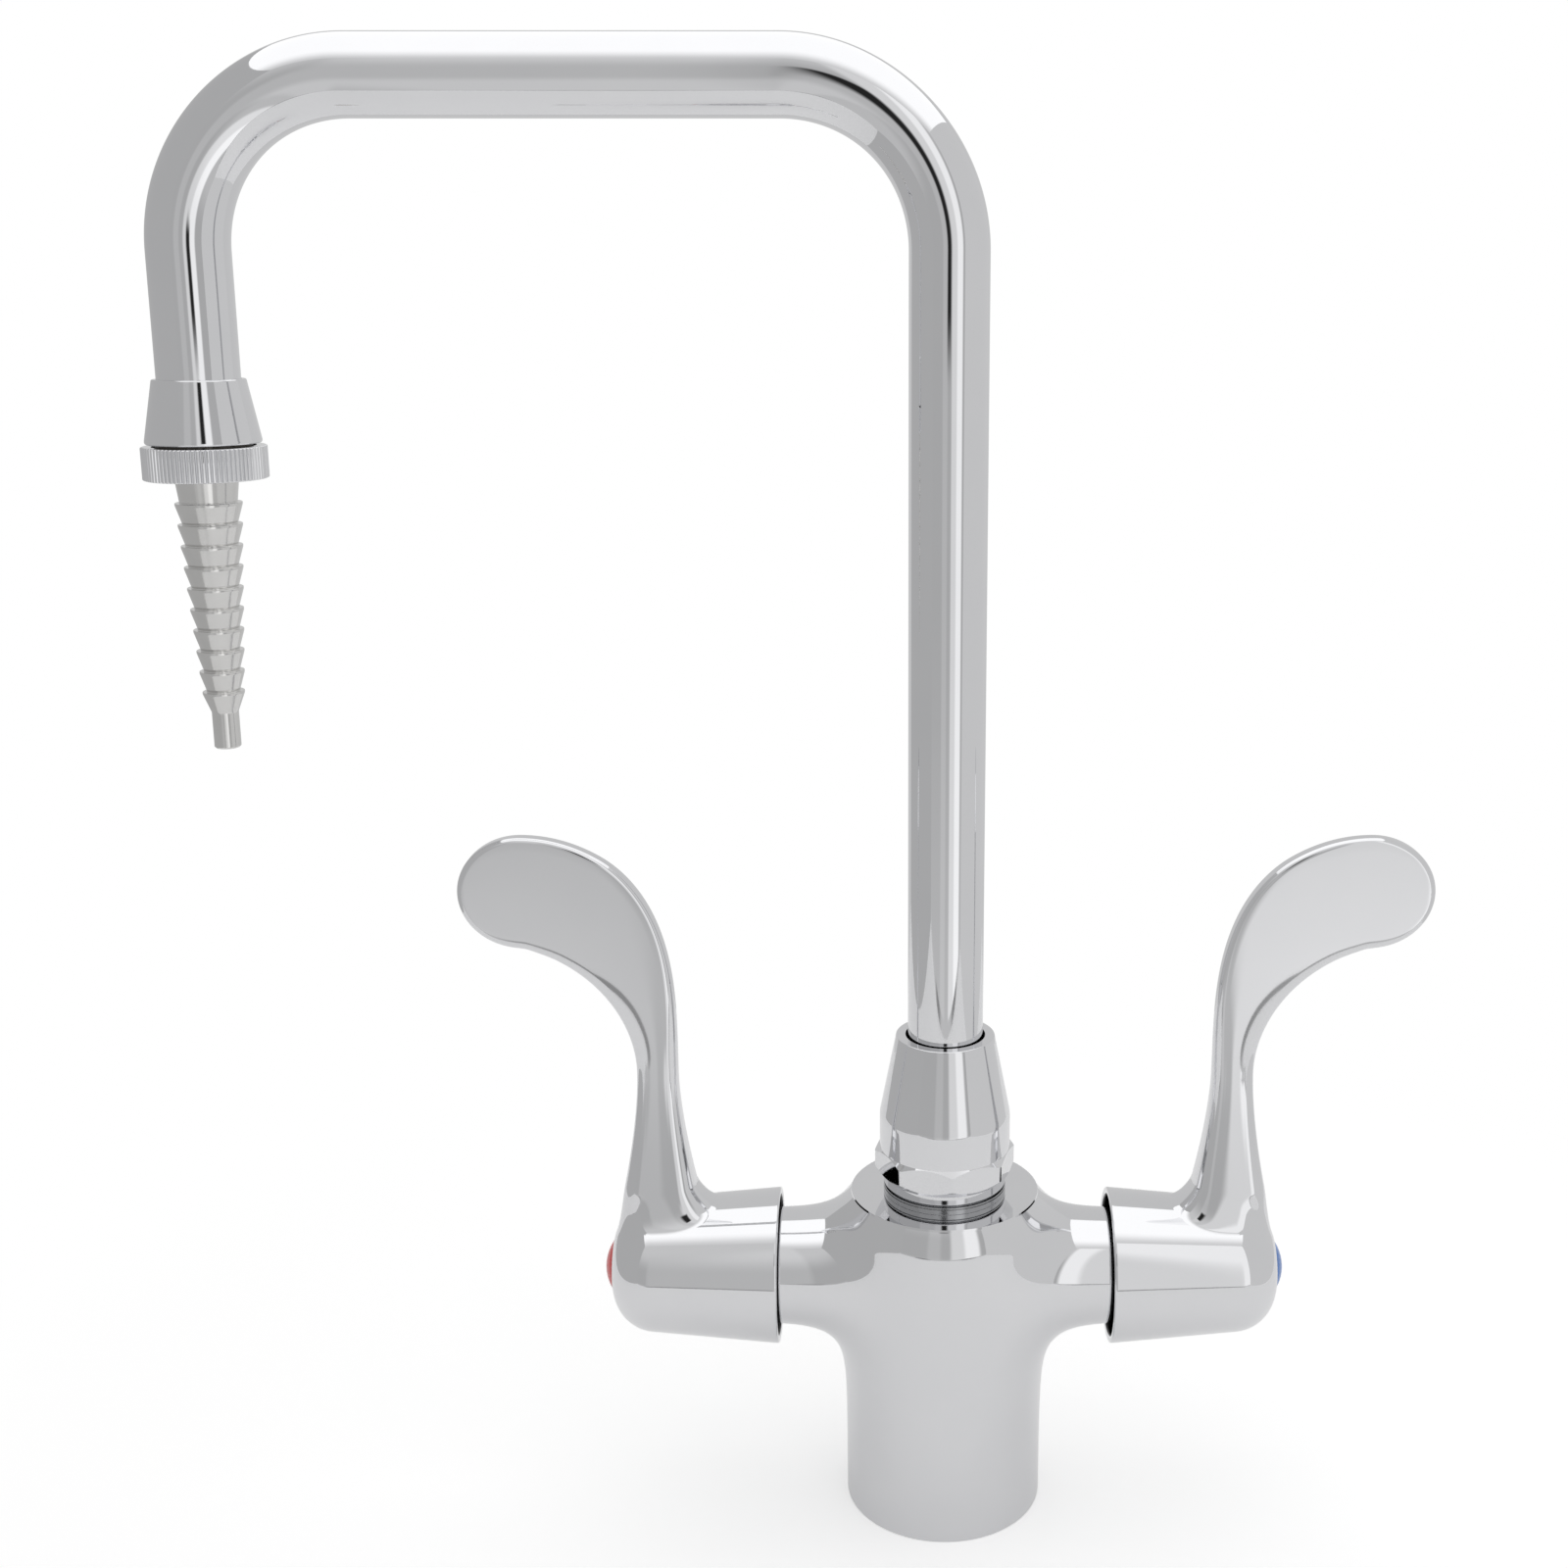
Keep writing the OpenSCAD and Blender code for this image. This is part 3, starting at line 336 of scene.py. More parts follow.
def flowOver(points, look, moves):
    # settles points on the soft union of column and arms, where exp(-column / flow) + exp(-arm / flow) = 1
    # and column and arm are a point's distances from the two. The flow tightens from the arms' axis to the
    # flat top, and each pass is a step along the steepest way, in the directions that a point may move
    columnR, topZ = bodyHigh[1:]
    crownR = crownRadius(look)
    points = points.copy()
    for _ in range(look.passes):
        x, y, z = points[..., 0], points[..., 1], points[..., 2]
        out = np.hypot(x, y)
        lean = np.arcsin(np.clip((z - topZ + look.crownH) / crownR, 0, look.leanMost))
        column = (out - columnR + crownR * (1 - np.cos(lean))) * np.cos(lean)
        across = np.hypot(y, z - axisZ)
        arm = across - look.armR
        height = np.clip((z - axisZ) / (topZ - axisZ), 0, 1)
        flow = look.flow + (look.flowTop - look.flow) * height ** 2
        share = 1 / (1 + np.exp((arm - column) / flow))
        level = -flow * np.logaddexp(-column / flow, -arm / flow)
        steep = np.stack([(1 - share) * np.cos(lean) * x / out,
                          (1 - share) * np.cos(lean) * y / out + share * y / across,
                          (1 - share) * np.sin(lean) + share * (z - axisZ) / across], axis=-1) * moves
        points -= level[..., None] * steep / (steep ** 2).sum(-1, keepdims=True).clip(look.steepLeast)
    return points


def flowGrids(look):
    armEnd, columnR, topZ = bodyHigh
    armR = look.armR
    columnTop = topZ - look.crownH
    crownR = crownRadius(look)
    # to start with, a ball rolls round the arm (angle phi) and against the column. Its radius grows towards
    # the front, and above the arm it is held to the size at which it touches the rim of the flat top
    phi = np.radians(np.linspace(-90, 90, look.aroundArm))
    rim = (look.crownH - look.rimDrop) / crownR
    rise = np.maximum(np.sin(phi) - rim, look.riseLeast)
    largest = (columnTop + rim * crownR - axisZ - armR * np.sin(phi)) / rise
    low = look.fillet + (look.frontFillet - look.fillet) * np.cos(phi) ** 2
    high = -look.filletSoft * np.logaddexp(-look.frontFillet / look.filletSoft, -largest / look.filletSoft)
    fillet = np.where(phi < 0, low, high)
    ballY = -(armR + fillet) * np.cos(phi)
    ballZ = axisZ + (armR + fillet) * np.sin(phi)
    lean = np.arcsin(np.clip((ballZ - columnTop) / (crownR + fillet), 0, 1))
    upper = ballZ > columnTop
    ballR = np.where(upper, columnR - crownR + (crownR + fillet) * np.cos(lean), columnR + fillet)
    touchR = (columnR - crownR + crownR * np.cos(lean))[:, None]
    touchZ = np.where(upper, columnTop + crownR * np.sin(lean), ballZ)[:, None]
    ballX = np.sqrt(ballR ** 2 - ballY ** 2)
    share = np.linspace(-1, 1, look.aroundColumn)
    angle = np.arctan2(ballX, -ballY)[:, None] * share
    front = np.stack([touchR * np.sin(angle), -touchR * np.cos(angle), touchZ + 0 * angle], axis=-1)
    # the fillet turns from the column's touch direction to the arm's along the shorter arc
    ball = np.stack([ballX, ballY, ballZ], axis=-1)
    armPoint = np.stack([ballX, -armR * np.cos(phi), axisZ + armR * np.sin(phi)], axis=-1)
    onColumn, onArm = front[:, -1] - ball, armPoint - ball
    gap = np.arccos(np.clip((onColumn * onArm).sum(-1) / fillet ** 2, -1, 1))[:, None, None]
    t = np.linspace(0, 1, look.blendSteps)[None, :, None]
    turned = np.sin((1 - t) * gap) * onColumn[:, None] + np.sin(t * gap) * onArm[:, None]
    blend = ball[:, None] + turned / np.sin(gap)
    along = np.linspace(0, 1, look.armSteps)[None, :, None]
    armStop = armPoint.copy()
    armStop[:, 0] = armEnd - look.foot
    tube = armPoint[:, None] * (1 - along) + armStop[:, None] * along
    # plain rows of the column below, then everything settles; the rim keeps its height, and the arm's end
    # and the lowest row keep their place
    lowZ = np.linspace(look.flowFrom, touchZ[0, 0], look.lowSteps)[:-1, None]
    half = np.pi / 2 * share + 0 * lowZ
    below = np.stack([columnR * np.sin(half), -columnR * np.cos(half), lowZ + 0 * half], axis=-1)
    front = np.concatenate([below, front])
    moves = [np.ones(grid.shape) for grid in (front, blend, tube)]
    moves[0][0], moves[2][:, -1] = 0, 0
    moves[0][-1, :, 2], moves[1][-1, 0, 2] = 0, 0
    return [flowOver(grid, look, free) for grid, free in zip((front, blend, tube), moves)]


def bodyShapes(look):
    # the settled quarters and their mirror images; turned outlines close them: the arms' ends with their
    # bores, the foot with its groove, the seat in the flat top, and the holes drilled from below
    armEnd, columnR, topZ = bodyHigh
    front, blend, tube = flowGrids(look)
    half = np.pi / 2 * np.linspace(-1, 1, look.aroundColumn)
    outward = np.stack([np.sin(half), -np.cos(half), 0 * half], axis=-1)
    flat = np.stack([front[-1], front[-1] - look.rimInset * outward, look.ringSeat * outward])
    flat[1:, :, 2] = topZ
    quarters = [front, mirrored(front, 1), flat, mirrored(flat, 1)]
    for grid in (blend, tube):
        quarters += [grid, mirrored(grid, 1), mirrored(grid, 0), mirrored(mirrored(grid, 0), 1)]
    boreX, seatZ, spudZ = armEnd - look.boreDepth, topZ - look.seatDepth, topZ - look.spudDepth
    stop = alongArm(lathe(softOutline([
        (look.armR, armEnd - look.foot, 0), (look.armR - look.foot, armEnd, 0), (look.armBore, armEnd, 0),
        (look.armBore, boreX, 0), (0, boreX, 0)])))
    column = lathe(softOutline([
        (look.grooveIn, 0, 0), (look.grooveIn, look.grooveDepth, 0), (look.grooveOut, look.grooveDepth, 0),
        (look.grooveOut, 0, 0), (columnR, 0, look.foot), (columnR, look.flowFrom, 0)]))
    crown = lathe(softOutline([
        (look.ringSeat, topZ, 0), (look.ringSeat, seatZ, 0), (look.spudBore, seatZ, 0),
        (look.spudBore, spudZ, 0), (0, spudZ, 0)]))
    holes = [(side * look.inletX, 0, look.inletR, look.inletDepth) for side in (-1, 1)]
    holes += [(0, side * look.studY, look.studR, look.studDepth) for side in (-1, 1)]
    loops, walls = [column[0, :-1]], []
    for x, y, r, depth in holes:
        drill = softOutline([(r, 0, 0), (r, depth, 0), (0, depth + look.drillCone * r, 0)])
        walls.append(lathe(drill, look.holeTurns) + np.array([x, y, 0]))
        loops.append(walls[-1][0, :-1])
    return quarters + [stop, mirrored(stop, 0), column, crown] + walls, [plateWithHoles(loops)]


bodyGrids, bodyPlates = bodyShapes(SimpleNamespace(**bodyLook))
makePiece("bodyCasting", bodyGrids, "tap_body", ["body_casting"], finishes["chrome_plate"], plates=bodyPlates)
print("body casting")


# Spud: the collar between the body and the nut, with a thin groove and an open gap under the nut

spudLow, spudHigh = nodeBox("spout_spud")
spudLook = dict(stemR=10.9, portR=8.9, collarH=1.85, grooveAt=1.25, threadR=14.2, boreR=11.75, boreFrom=4.0,
                groove=0.4, grooveH=0.3, stemEdge=0.2, collarEdge=0.15, grooveEdge=0.05, threadEdge=0.3)


def spudShape(look):
    # one turned outline: stem, collar with its groove, thread, and a bore in two steps
    topZ, collarR = bodyHigh[2], spudHigh[0]
    low, high = spudLow[2], spudHigh[2]
    collarZ, boreZ = topZ + look.collarH, topZ + look.boreFrom
    grooveZ, grooveTop = topZ + look.grooveAt, topZ + look.grooveAt + look.grooveH
    grooveR = collarR - look.groove
    return lathe(softOutline([
        (look.portR, low, 0), (look.stemR, low, look.stemEdge), (look.stemR, topZ, 0),
        (collarR, topZ, look.collarEdge), (collarR, grooveZ, look.grooveEdge), (grooveR, grooveZ, 0),
        (grooveR, grooveTop, 0), (collarR, grooveTop, look.grooveEdge), (collarR, collarZ, look.collarEdge),
        (look.threadR, collarZ, 0), (look.threadR, high, look.threadEdge), (look.boreR, high, 0),
        (look.boreR, boreZ, 0), (look.portR, boreZ, 0), (look.portR, low, 0)]))


spudGrid = spudShape(SimpleNamespace(**spudLook))
makePiece("spoutSpud", [spudGrid], "tap_body", ["spout_spud"], finishes["dull_plate"])
print("spud")


# Riser nut: foot band, eight spanner flats between chamfers, round part, and a long cone

nutLow, nutHigh = nodeBox("riser_nut")
nutLook = dict(bandR=15.7, bandH=2.7, roundR=16.7, flats=8, flatR=16.8, flatTop=10.2, cornerR=18.0,
               cornerSoft=14.0, front=270.0, turn=5.0, coneH=21.1, topR=12.5, boreR=10.1, threadR=14.3,
               shoulder=19.9, footGap=0.45, footEdge=0.3, coneRound=1.0, topEdge=0.35, boreEdge=0.1, steps=8,
               turns=576, chamferAt=(0.04, 0.5, 0.96), flatAt=(0.0, 0.05, 0.5, 0.95, 1.0))


def nutShape(look):
    # radius and height by row and angle: x = r cos a, y = r sin a, round except along the flats
    low, high = nutLow[2], nutHigh[2]
    footZ, bandZ, flatZ = low + look.footGap, low + look.bandH, low + look.flatTop
    shoulderZ, coneZ = low + look.shoulder, high - look.coneH
    a = np.linspace(0, 2 * np.pi, look.turns + 1)
    # flats: apothem over the cosine of the angle from the middle of the flat, softly cut off by the round bar
    wide, soft = 2 * np.pi / look.flats, look.cornerSoft
    flats = -np.logaddexp(-soft * look.flatR / np.cos(a % wide - wide / 2), -soft * look.cornerR) / soft
    a = a + np.radians(look.front + look.turn)
    foot = softOutline([(look.threadR, footZ, 0), (look.bandR, footZ, look.footEdge), (look.bandR, bandZ, 0)])
    top = softOutline([(look.roundR, flatZ, 0), (look.roundR, coneZ, look.coneRound),
                       (look.topR, high, look.topEdge), (look.boreR, high, look.boreEdge),
                       (look.boreR, shoulderZ, 0), (look.threadR, shoulderZ, 0),
                       (look.threadR, footZ, 0)], look.steps)
    # chamfers of one to one below and above each flat, so their edges lie along the rows of the grid
    lowEdge = bandZ + (flats - look.bandR)
    highEdge = flatZ - (flats - look.roundR)
    chamfer, face = (np.array(shares)[:, None] for shares in (look.chamferAt, look.flatAt))
    rows = [(foot[:, :1] + 0 * a, foot[:, 1:] + 0 * a),
            (look.bandR + chamfer * (flats - look.bandR), bandZ + chamfer * (lowEdge - bandZ)),
            (flats + 0 * face, lowEdge + face * (highEdge - lowEdge)),
            (flats + chamfer * (look.roundR - flats), highEdge + chamfer * (flatZ - highEdge)),
            (top[:, :1] + 0 * a, top[:, 1:] + 0 * a)]
    r, z = (np.concatenate(part) for part in zip(*rows))
    return np.stack([r * np.cos(a), r * np.sin(a), z], axis=-1)


nutGrid = nutShape(SimpleNamespace(**nutLook))
makePiece("riserNut", [nutGrid], "tap_body", ["riser_nut"], finishes["chrome_plate"], sharp=30)
print("riser nut")


# Spout: a round tube along riser, bend, level run, bend and drop leg; slightly flattened in the bends

tubeLow, tubeHigh = nodeBox("spout_tube")
outletLow, outletHigh = nodeBox("outlet_collar")
tubeLook = dict(bendR=39.0, flatten=0.25, widen=0.075, socket=11.0, hold=0.6, around=128, bendSteps=56)


def spoutShape(look):
    # a ring carried along the middle line: radius times cos a outwards in the spout's plane, and radius
    # times sin a across it
    tubeR = (tubeHigh[1] - tubeLow[1]) / 2
    runZ, reach = tubeHigh[2] - tubeR, tubeLow[0] + tubeR
    bend, hold = look.bendR, look.hold
    bendZ, dropZ = runZ - bend, outletHigh[2] - look.socket
    t = np.linspace(0, 1, look.bendSteps + 1)

    # each stretch: its middle line, the outward direction in the spout's plane, and how far into a bend it is
    def straight(start, end, facing):
        return np.array([start, end]), np.full(2, facing), np.zeros(2)

    def bent(centreX, start):
        facing = start + np.pi / 2 * t
        line = np.stack([centreX + bend * np.cos(facing), bendZ + bend * np.sin(facing)], axis=-1)
        return line, facing, np.sin(np.pi * t) ** 2

    stretches = [straight((0, tubeLow[2]), (0, bendZ - hold), 0),
                 bent(-bend, 0),
                 straight((-bend - hold, runZ), (reach + bend + hold, runZ), np.pi / 2),
                 bent(reach + bend, np.pi / 2),
                 straight((reach, bendZ - hold), (reach, dropZ), np.pi)]
    line, facing, inBend = (np.concatenate(part) for part in zip(*stretches))
    a = np.linspace(0, 2 * np.pi, look.around + 1)
    inPlane = (tubeR - look.flatten * inBend)[:, None] * np.cos(a)
    across = (tubeR + look.widen * inBend)[:, None] * np.sin(a)
    ring = np.stack([line[:, :1] + inPlane * np.cos(facing)[:, None], across,
                     line[:, 1:] + inPlane * np.sin(facing)[:, None]], axis=-1)
    ends = [np.repeat(ring[k].mean(0)[None, None], ring.shape[1], axis=1) for k in (0, -1)]
    return np.concatenate([ends[0], ring, ends[1]])


tubeGrid = spoutShape(SimpleNamespace(**tubeLook))
makePiece("spoutTube", [tubeGrid], "spout", ["spout_tube"], finishes["chrome_tube"])
print("spout tube")


# Outlet: coned collar on the drop leg, knurled ring and serrated nozzle

outletX = (outletLow[0] + outletHigh[0]) / 2
outletLook = dict(topR=10.6, height=15.1, threadR=11.8, inset=0.6, boreR=9.6, topRound=1.3, footRound=1.0,
                  threadEdge=0.3, footStep=0.1, boreEdge=0.05, bareGap=0.02)
# painted shade: the unplated thread below the foot is darkened to stand for the shadowed gap under the cone
outletFinish = plateFinish("outletPlatePaintedShade", dict(
    chromeLook, threadTop=outletHigh[2] - outletLook["height"] - outletLook["bareGap"]))


def outletShape(look):
    # one outline, turned about the drop leg: slim thread, foot with a round edge, cone and bore
    low, high = outletLow[2], outletHigh[2]
    footZ = high - look.height
    footR = (outletHigh[0] - outletLow[0]) / 2
    threadR = look.threadR - look.inset
    outline = softOutline([
        (look.boreR, low, 0), (threadR, low, look.threadEdge), (threadR, footZ - look.footStep, 0),
        (threadR, footZ, 0), (footR, footZ, look.footRound), (look.topR, high, look.topRound),
        (look.boreR, high, look.boreEdge), (look.boreR, low, 0)])
    return lathe(outline) + np.array([outletX, 0, 0])


outletGrid = outletShape(SimpleNamespace(**outletLook))
makePiece("outletCollar", [outletGrid], "spout", ["outlet_collar"], outletFinish)

ringLow, ringHigh = nodeBox("coupling_ring")
ringLook = dict(ribs=80, ribDepth=0.45, ribPower=6, bevel=0.3, past=0.3, edge=0.1, holeR=7.4, boreR=11.86,
                shoulder=1.6, cutFrom=1.0, soft=14.0, steps=6, rowSplit=2, turns=960)


def ringShape(look):
    # an outline turned about the drop leg, whose radius is held below the ribs' own at each angle
    low, high = ringLow[2], ringHigh[2]
    outerR = (ringHigh[0] - ringLow[0]) / 2
    valley, pastR, floorZ = outerR - look.ribDepth, outerR + look.past, low + look.shoulder
    outline = softOutline([
        (look.holeR, low, 0), (valley, low, look.edge), (pastR, low + look.bevel, 0),
        (pastR, high - look.bevel, 0), (valley, high, look.edge), (look.boreR, high, look.edge),
        (look.boreR, floorZ, 0), (look.holeR, floorZ, 0), (look.holeR, low, 0)], look.steps)
    last = len(outline) - 1
    rows = np.linspace(0, last, look.rowSplit * last + 1)
    r, z = (np.interp(rows, np.arange(last + 1), outline[:, k])[:, None] for k in (0, 1))
    a = np.linspace(0, 2 * np.pi, look.turns + 1)
    # ribs: round-topped ridges with narrow valleys, which softly cut off a slightly larger ring
    ridge = outerR - look.ribDepth * np.abs(np.sin(look.ribs / 2 * a)) ** look.ribPower
    cut = r - np.log(np.exp(-look.soft * (ridge - r)) + 1) / look.soft
    r = np.where(r > valley - look.cutFrom, cut, r)
    return np.stack([r * np.cos(a), r * np.sin(a), z + 0 * a], axis=-1) + np.array([outletX, 0, 0])


ringGrid = ringShape(SimpleNamespace(**ringLook))
makePiece("couplingRing", [ringGrid], "knurled_ring", ["coupling_ring"], finishes["chrome_plate"], sharp=60)

nozzleLow, nozzleHigh = nodeBox("serrated_nozzle")
nozzleLook = dict(flangeT=1.4, neckR=7.3, waistR=6.6, neckLen=5.6, barbs=10, pitch=5.1, firstR=7.7, lastR=4.9,
                  lip=0.5, step=1.1, tipR=3.15, tipLen=9.0, tipChamfer=0.4, boreR=1.9, edge=0.1, lipEdge=0.14,
                  neckRound=0.6, waistRound=0.25, rootRound=0.3, steps=4, turns=128)


def nozzleShape(look):
    # one outline, turned about the drop leg: flange, neck, barbs and plain tip. Each barb is smaller than
    # the last by the same drop, and goes from its lip down a cone to its root
    flangeR = (nozzleHigh[0] - nozzleLow[0]) / 2
    high, flangeZ = nozzleHigh[2], nozzleHigh[2] - look.flangeT
    barbZ = ringLow[2] - look.neckLen
    drop = (look.firstR - look.lastR) / (look.barbs - 1)
    corners = [(look.boreR, high, 0), (flangeR, high, look.edge), (flangeR, flangeZ, look.edge),
               (look.neckR, flangeZ, look.edge), (look.neckR, ringLow[2], look.neckRound),
               (look.waistR, barbZ, look.waistRound)]
    for k in range(look.barbs):
        z, r = barbZ - k * look.pitch, look.firstR - k * drop
        root = r - drop - look.step if k < look.barbs - 1 else look.tipR
        corners += [(r, z, look.lipEdge), (r, z - look.lip, look.lipEdge),
                    (root, z - look.pitch, look.rootRound)]
    tipZ = corners[-1][1] - look.tipLen
    corners += [(look.tipR, tipZ + look.tipChamfer, look.edge),
                (look.tipR - look.tipChamfer, tipZ, look.edge),
                (look.boreR, tipZ, look.edge), (look.boreR, high, 0)]
    return lathe(softOutline(corners, look.steps), look.turns) + np.array([outletX, 0, 0])


nozzleGrid = nozzleShape(SimpleNamespace(**nozzleLook))
makePiece("serratedNozzle", [nozzleGrid], "nozzle", ["serrated_nozzle"], finishes["turned_nozzle"])
print("outlet collar, knurled ring, nozzle")


# Handles: a hollow hub with a rounded end, and a wrist blade whose foot flows into it

hubX = nodeBox("cold_handle")[0][0]
clipX = nodeBox("cold_spindle_clip")[1][0]
handleLook = dict(hubR=19.75, taper=0.086, roundR=11.5, skirt=1.8, hubEnd=86.0, rim=0.7,
                  pocketR=6.65, pocketDepth=3.2, pocketEdge=0.15, webGap=0.5, webRound=1.0,
                  # margin and colour of the painted shade inside the hub's bore
                  bareGap=0.1, bareShade=(0.02, 0.02, 0.02),
                  bladeX=73.3, footZ=88.5, bendZ=118.0, bendX=32.7, bendH=48.2, tip=15.9,
                  neckW=5.25, growth=0.01688, power=1.6, ease=5.0, palmW=14.4, fullAt=68.0,
                  fill=0.5, fillAt=29.8, fillSpan=2.8,
                  footT=6.3, neckT=3.2, palmT=2.5, thinAt=84.0, thinPower=6,
                  footRound=4.2, neckRound=2.7, palmRound=1.5, edgeAt=50.0, neckCrown=0.2, palmCrown=0.12,
                  footAlong=15.0, footTurn=0.65, footSquare=2.6, footPull=0.8, footDepth=10.0, footSunk=0.8,
                  neckSteps=39, bendSteps=70, tipSteps=47, tipHold=20, insetMost=0.98, widthLeast=0.02,
                  edgeSteps=9, faceSteps=13, footSteps=25, arcSteps=40, holdShare=0.02, leaveStep=0.02)
handle = SimpleNamespace(**handleLook)
webX = clipX + handle.webGap
# painted shade: the hub's bore is darkened inside, as if unlit
handleFinish = plateFinish("handlePlatePaintedShade", dict(
    chromeLook, boreR=handle.hubR - handle.skirt + handle.bareGap, boreEnd=webX + handle.bareGap,
    bareShade=handle.bareShade))


def hubArc(look):
    # the hub's slope, and the place along the axis and the radius of the middle of its rounded end
    slope = np.arctan(look.taper)
    roundX = look.hubEnd - look.roundR
    sideR = look.hubR - look.taper * (roundX - hubX)
    return slope, roundX, sideR - look.roundR / np.cos(slope)


def hubProfile(look, length):
    # point on the hub's outline at a distance past the blade's middle line: first the tapered side, then
    # the arc of the rounded end
    slope, roundX, centreR = hubArc(look)
    meet = (roundX + look.roundR * np.sin(slope) - look.bladeX) / np.cos(slope)
    turn = slope + np.maximum(length - meet, 0) / look.roundR
    sideX = look.bladeX + np.minimum(length, meet) * np.cos(slope)
    x = np.where(length < meet, sideX, roundX + look.roundR * np.sin(turn))
    r = np.where(length < meet, look.hubR - look.taper * (sideX - hubX), centreR + look.roundR * np.cos(turn))
    return x, r


def bladeStations(look):
    # middle line up the neck, round a quarter of an ellipse and out to the tip, with its normal, half width,
    # half thickness and edge rounding
    neckZ = np.linspace(look.footZ, look.bendZ, look.neckSteps + 1)[:-1]
    u = np.linspace(0, np.pi / 2, look.bendSteps)
    s = np.sin(np.linspace(0, np.pi / 2, look.tipSteps + 1))[1:]

    def stations(neck, bend, tip):
        return np.concatenate([neck + 0 * neckZ, bend + 0 * u, tip + 0 * s])

    palmX, palmZ = look.bladeX + look.bendX, look.bendZ + look.bendH
    x = stations(look.bladeX, look.bladeX + look.bendX * (1 - np.cos(u)), palmX + look.tip * s)
    z = stations(neckZ, look.bendZ + look.bendH * np.sin(u), palmZ)
    alongX = stations(0, look.bendX * np.sin(u), 1)
    alongZ = stations(1, look.bendH * np.cos(u), 0)
    norm = np.hypot(alongX, alongZ)
    ends = np.radians([look.fullAt, look.edgeAt, look.thinAt])
    grown, drawn, thinned = (np.clip(u / end, 0, 1) for end in ends)
    grown, drawn = (share * share * (3 - 2 * share) for share in (grown, drawn))
    thick = (1 - thinned) ** look.thinPower
    drop = np.hypot(look.bendZ - neckZ, look.ease)
    low = (look.bendZ - neckZ) / (look.bendZ - look.footZ)
    width = stations(look.neckW + look.growth * (drop ** look.power - look.ease ** look.power),
                     look.neckW + (look.palmW - look.neckW) * grown,
                     look.palmW * np.sqrt(1 - s * s))
    thickness = stations(look.neckT + (look.footT - look.neckT) * (low + low * low) / 2,
                         look.palmT + (look.neckT - look.palmT) * thick,
                         look.palmT)
    edge = stations(look.neckRound + (look.footRound - look.neckRound) * low * low,
                    look.neckRound + (look.palmRound - look.neckRound) * drawn,
                    look.palmRound)
    return x, z, -alongZ / norm, alongX / norm, width, thickness, edge


def bladeRings(look):
    # each ring goes from one edge across the front face to the other edge and back behind. The rounded
    # border is set in along the outline's own normal, so that it is even round the tip
    x, z, nx, nz, width, thickness, edge = bladeStations(look)
    inset = np.minimum(edge, look.insetMost * np.maximum(width, look.widthLeast))
    inset[-look.tipHold:] = edge[-look.tipHold:]
    # inside the bend, a small bell-shaped fill evens the way from the concave edge to the round tip
    innerX = x - width * nx - look.bladeX
    fill = look.fill * np.exp(-((innerX - look.fillAt) / look.fillSpan) ** 2)
    swing = np.radians(np.linspace(0, 90, look.edgeSteps))
    borders = []
    for sign, reach, angles in ((1, width, swing), (-1, width + fill, swing[::-1])):
        outX, outZ = x + sign * reach * nx, z + sign * reach * nz
        stepX, stepZ = np.gradient(outX), np.gradient(outZ)
        move = (sign * inset / np.hypot(stepX, stepZ))[:, None] * (1 - np.cos(angles))
        borders.append(np.stack([outX[:, None] + move * stepZ[:, None],
                                 (thickness - edge)[:, None] + edge[:, None] * np.sin(angles),
                                 outZ[:, None] - move * stepX[:, None]], axis=-1))
    first, last = borders[0][:, -1], borders[1][:, 0]
    across = np.linspace(-1, 1, look.faceSteps + 2)[1:-1]
    q = across[None, :, None]
    face = first[:, None] * (1 - q) / 2 + last[:, None] * (1 + q) / 2
    # the face's crown: full on the upright neck, and a share of the width where the blade lies level
    level = nz ** 2
    share = np.maximum(width - inset, 0) / (look.palmW - look.palmRound)
    crown = look.neckCrown * (1 - level) + look.palmCrown * share * level
    face[..., 1] += crown[:, None] * (1 - across ** 2)
    front = np.concatenate([borders[0], face, borders[1]], axis=1)
    front[..., 1] *= -1
    back = front[:, ::-1] * np.array([1, -1, 1])
    return np.concatenate([front, back, front[:, :1]], axis=1)


def unit(vectors):
    return vectors / np.linalg.norm(vectors, axis=-1, keepdims=True)


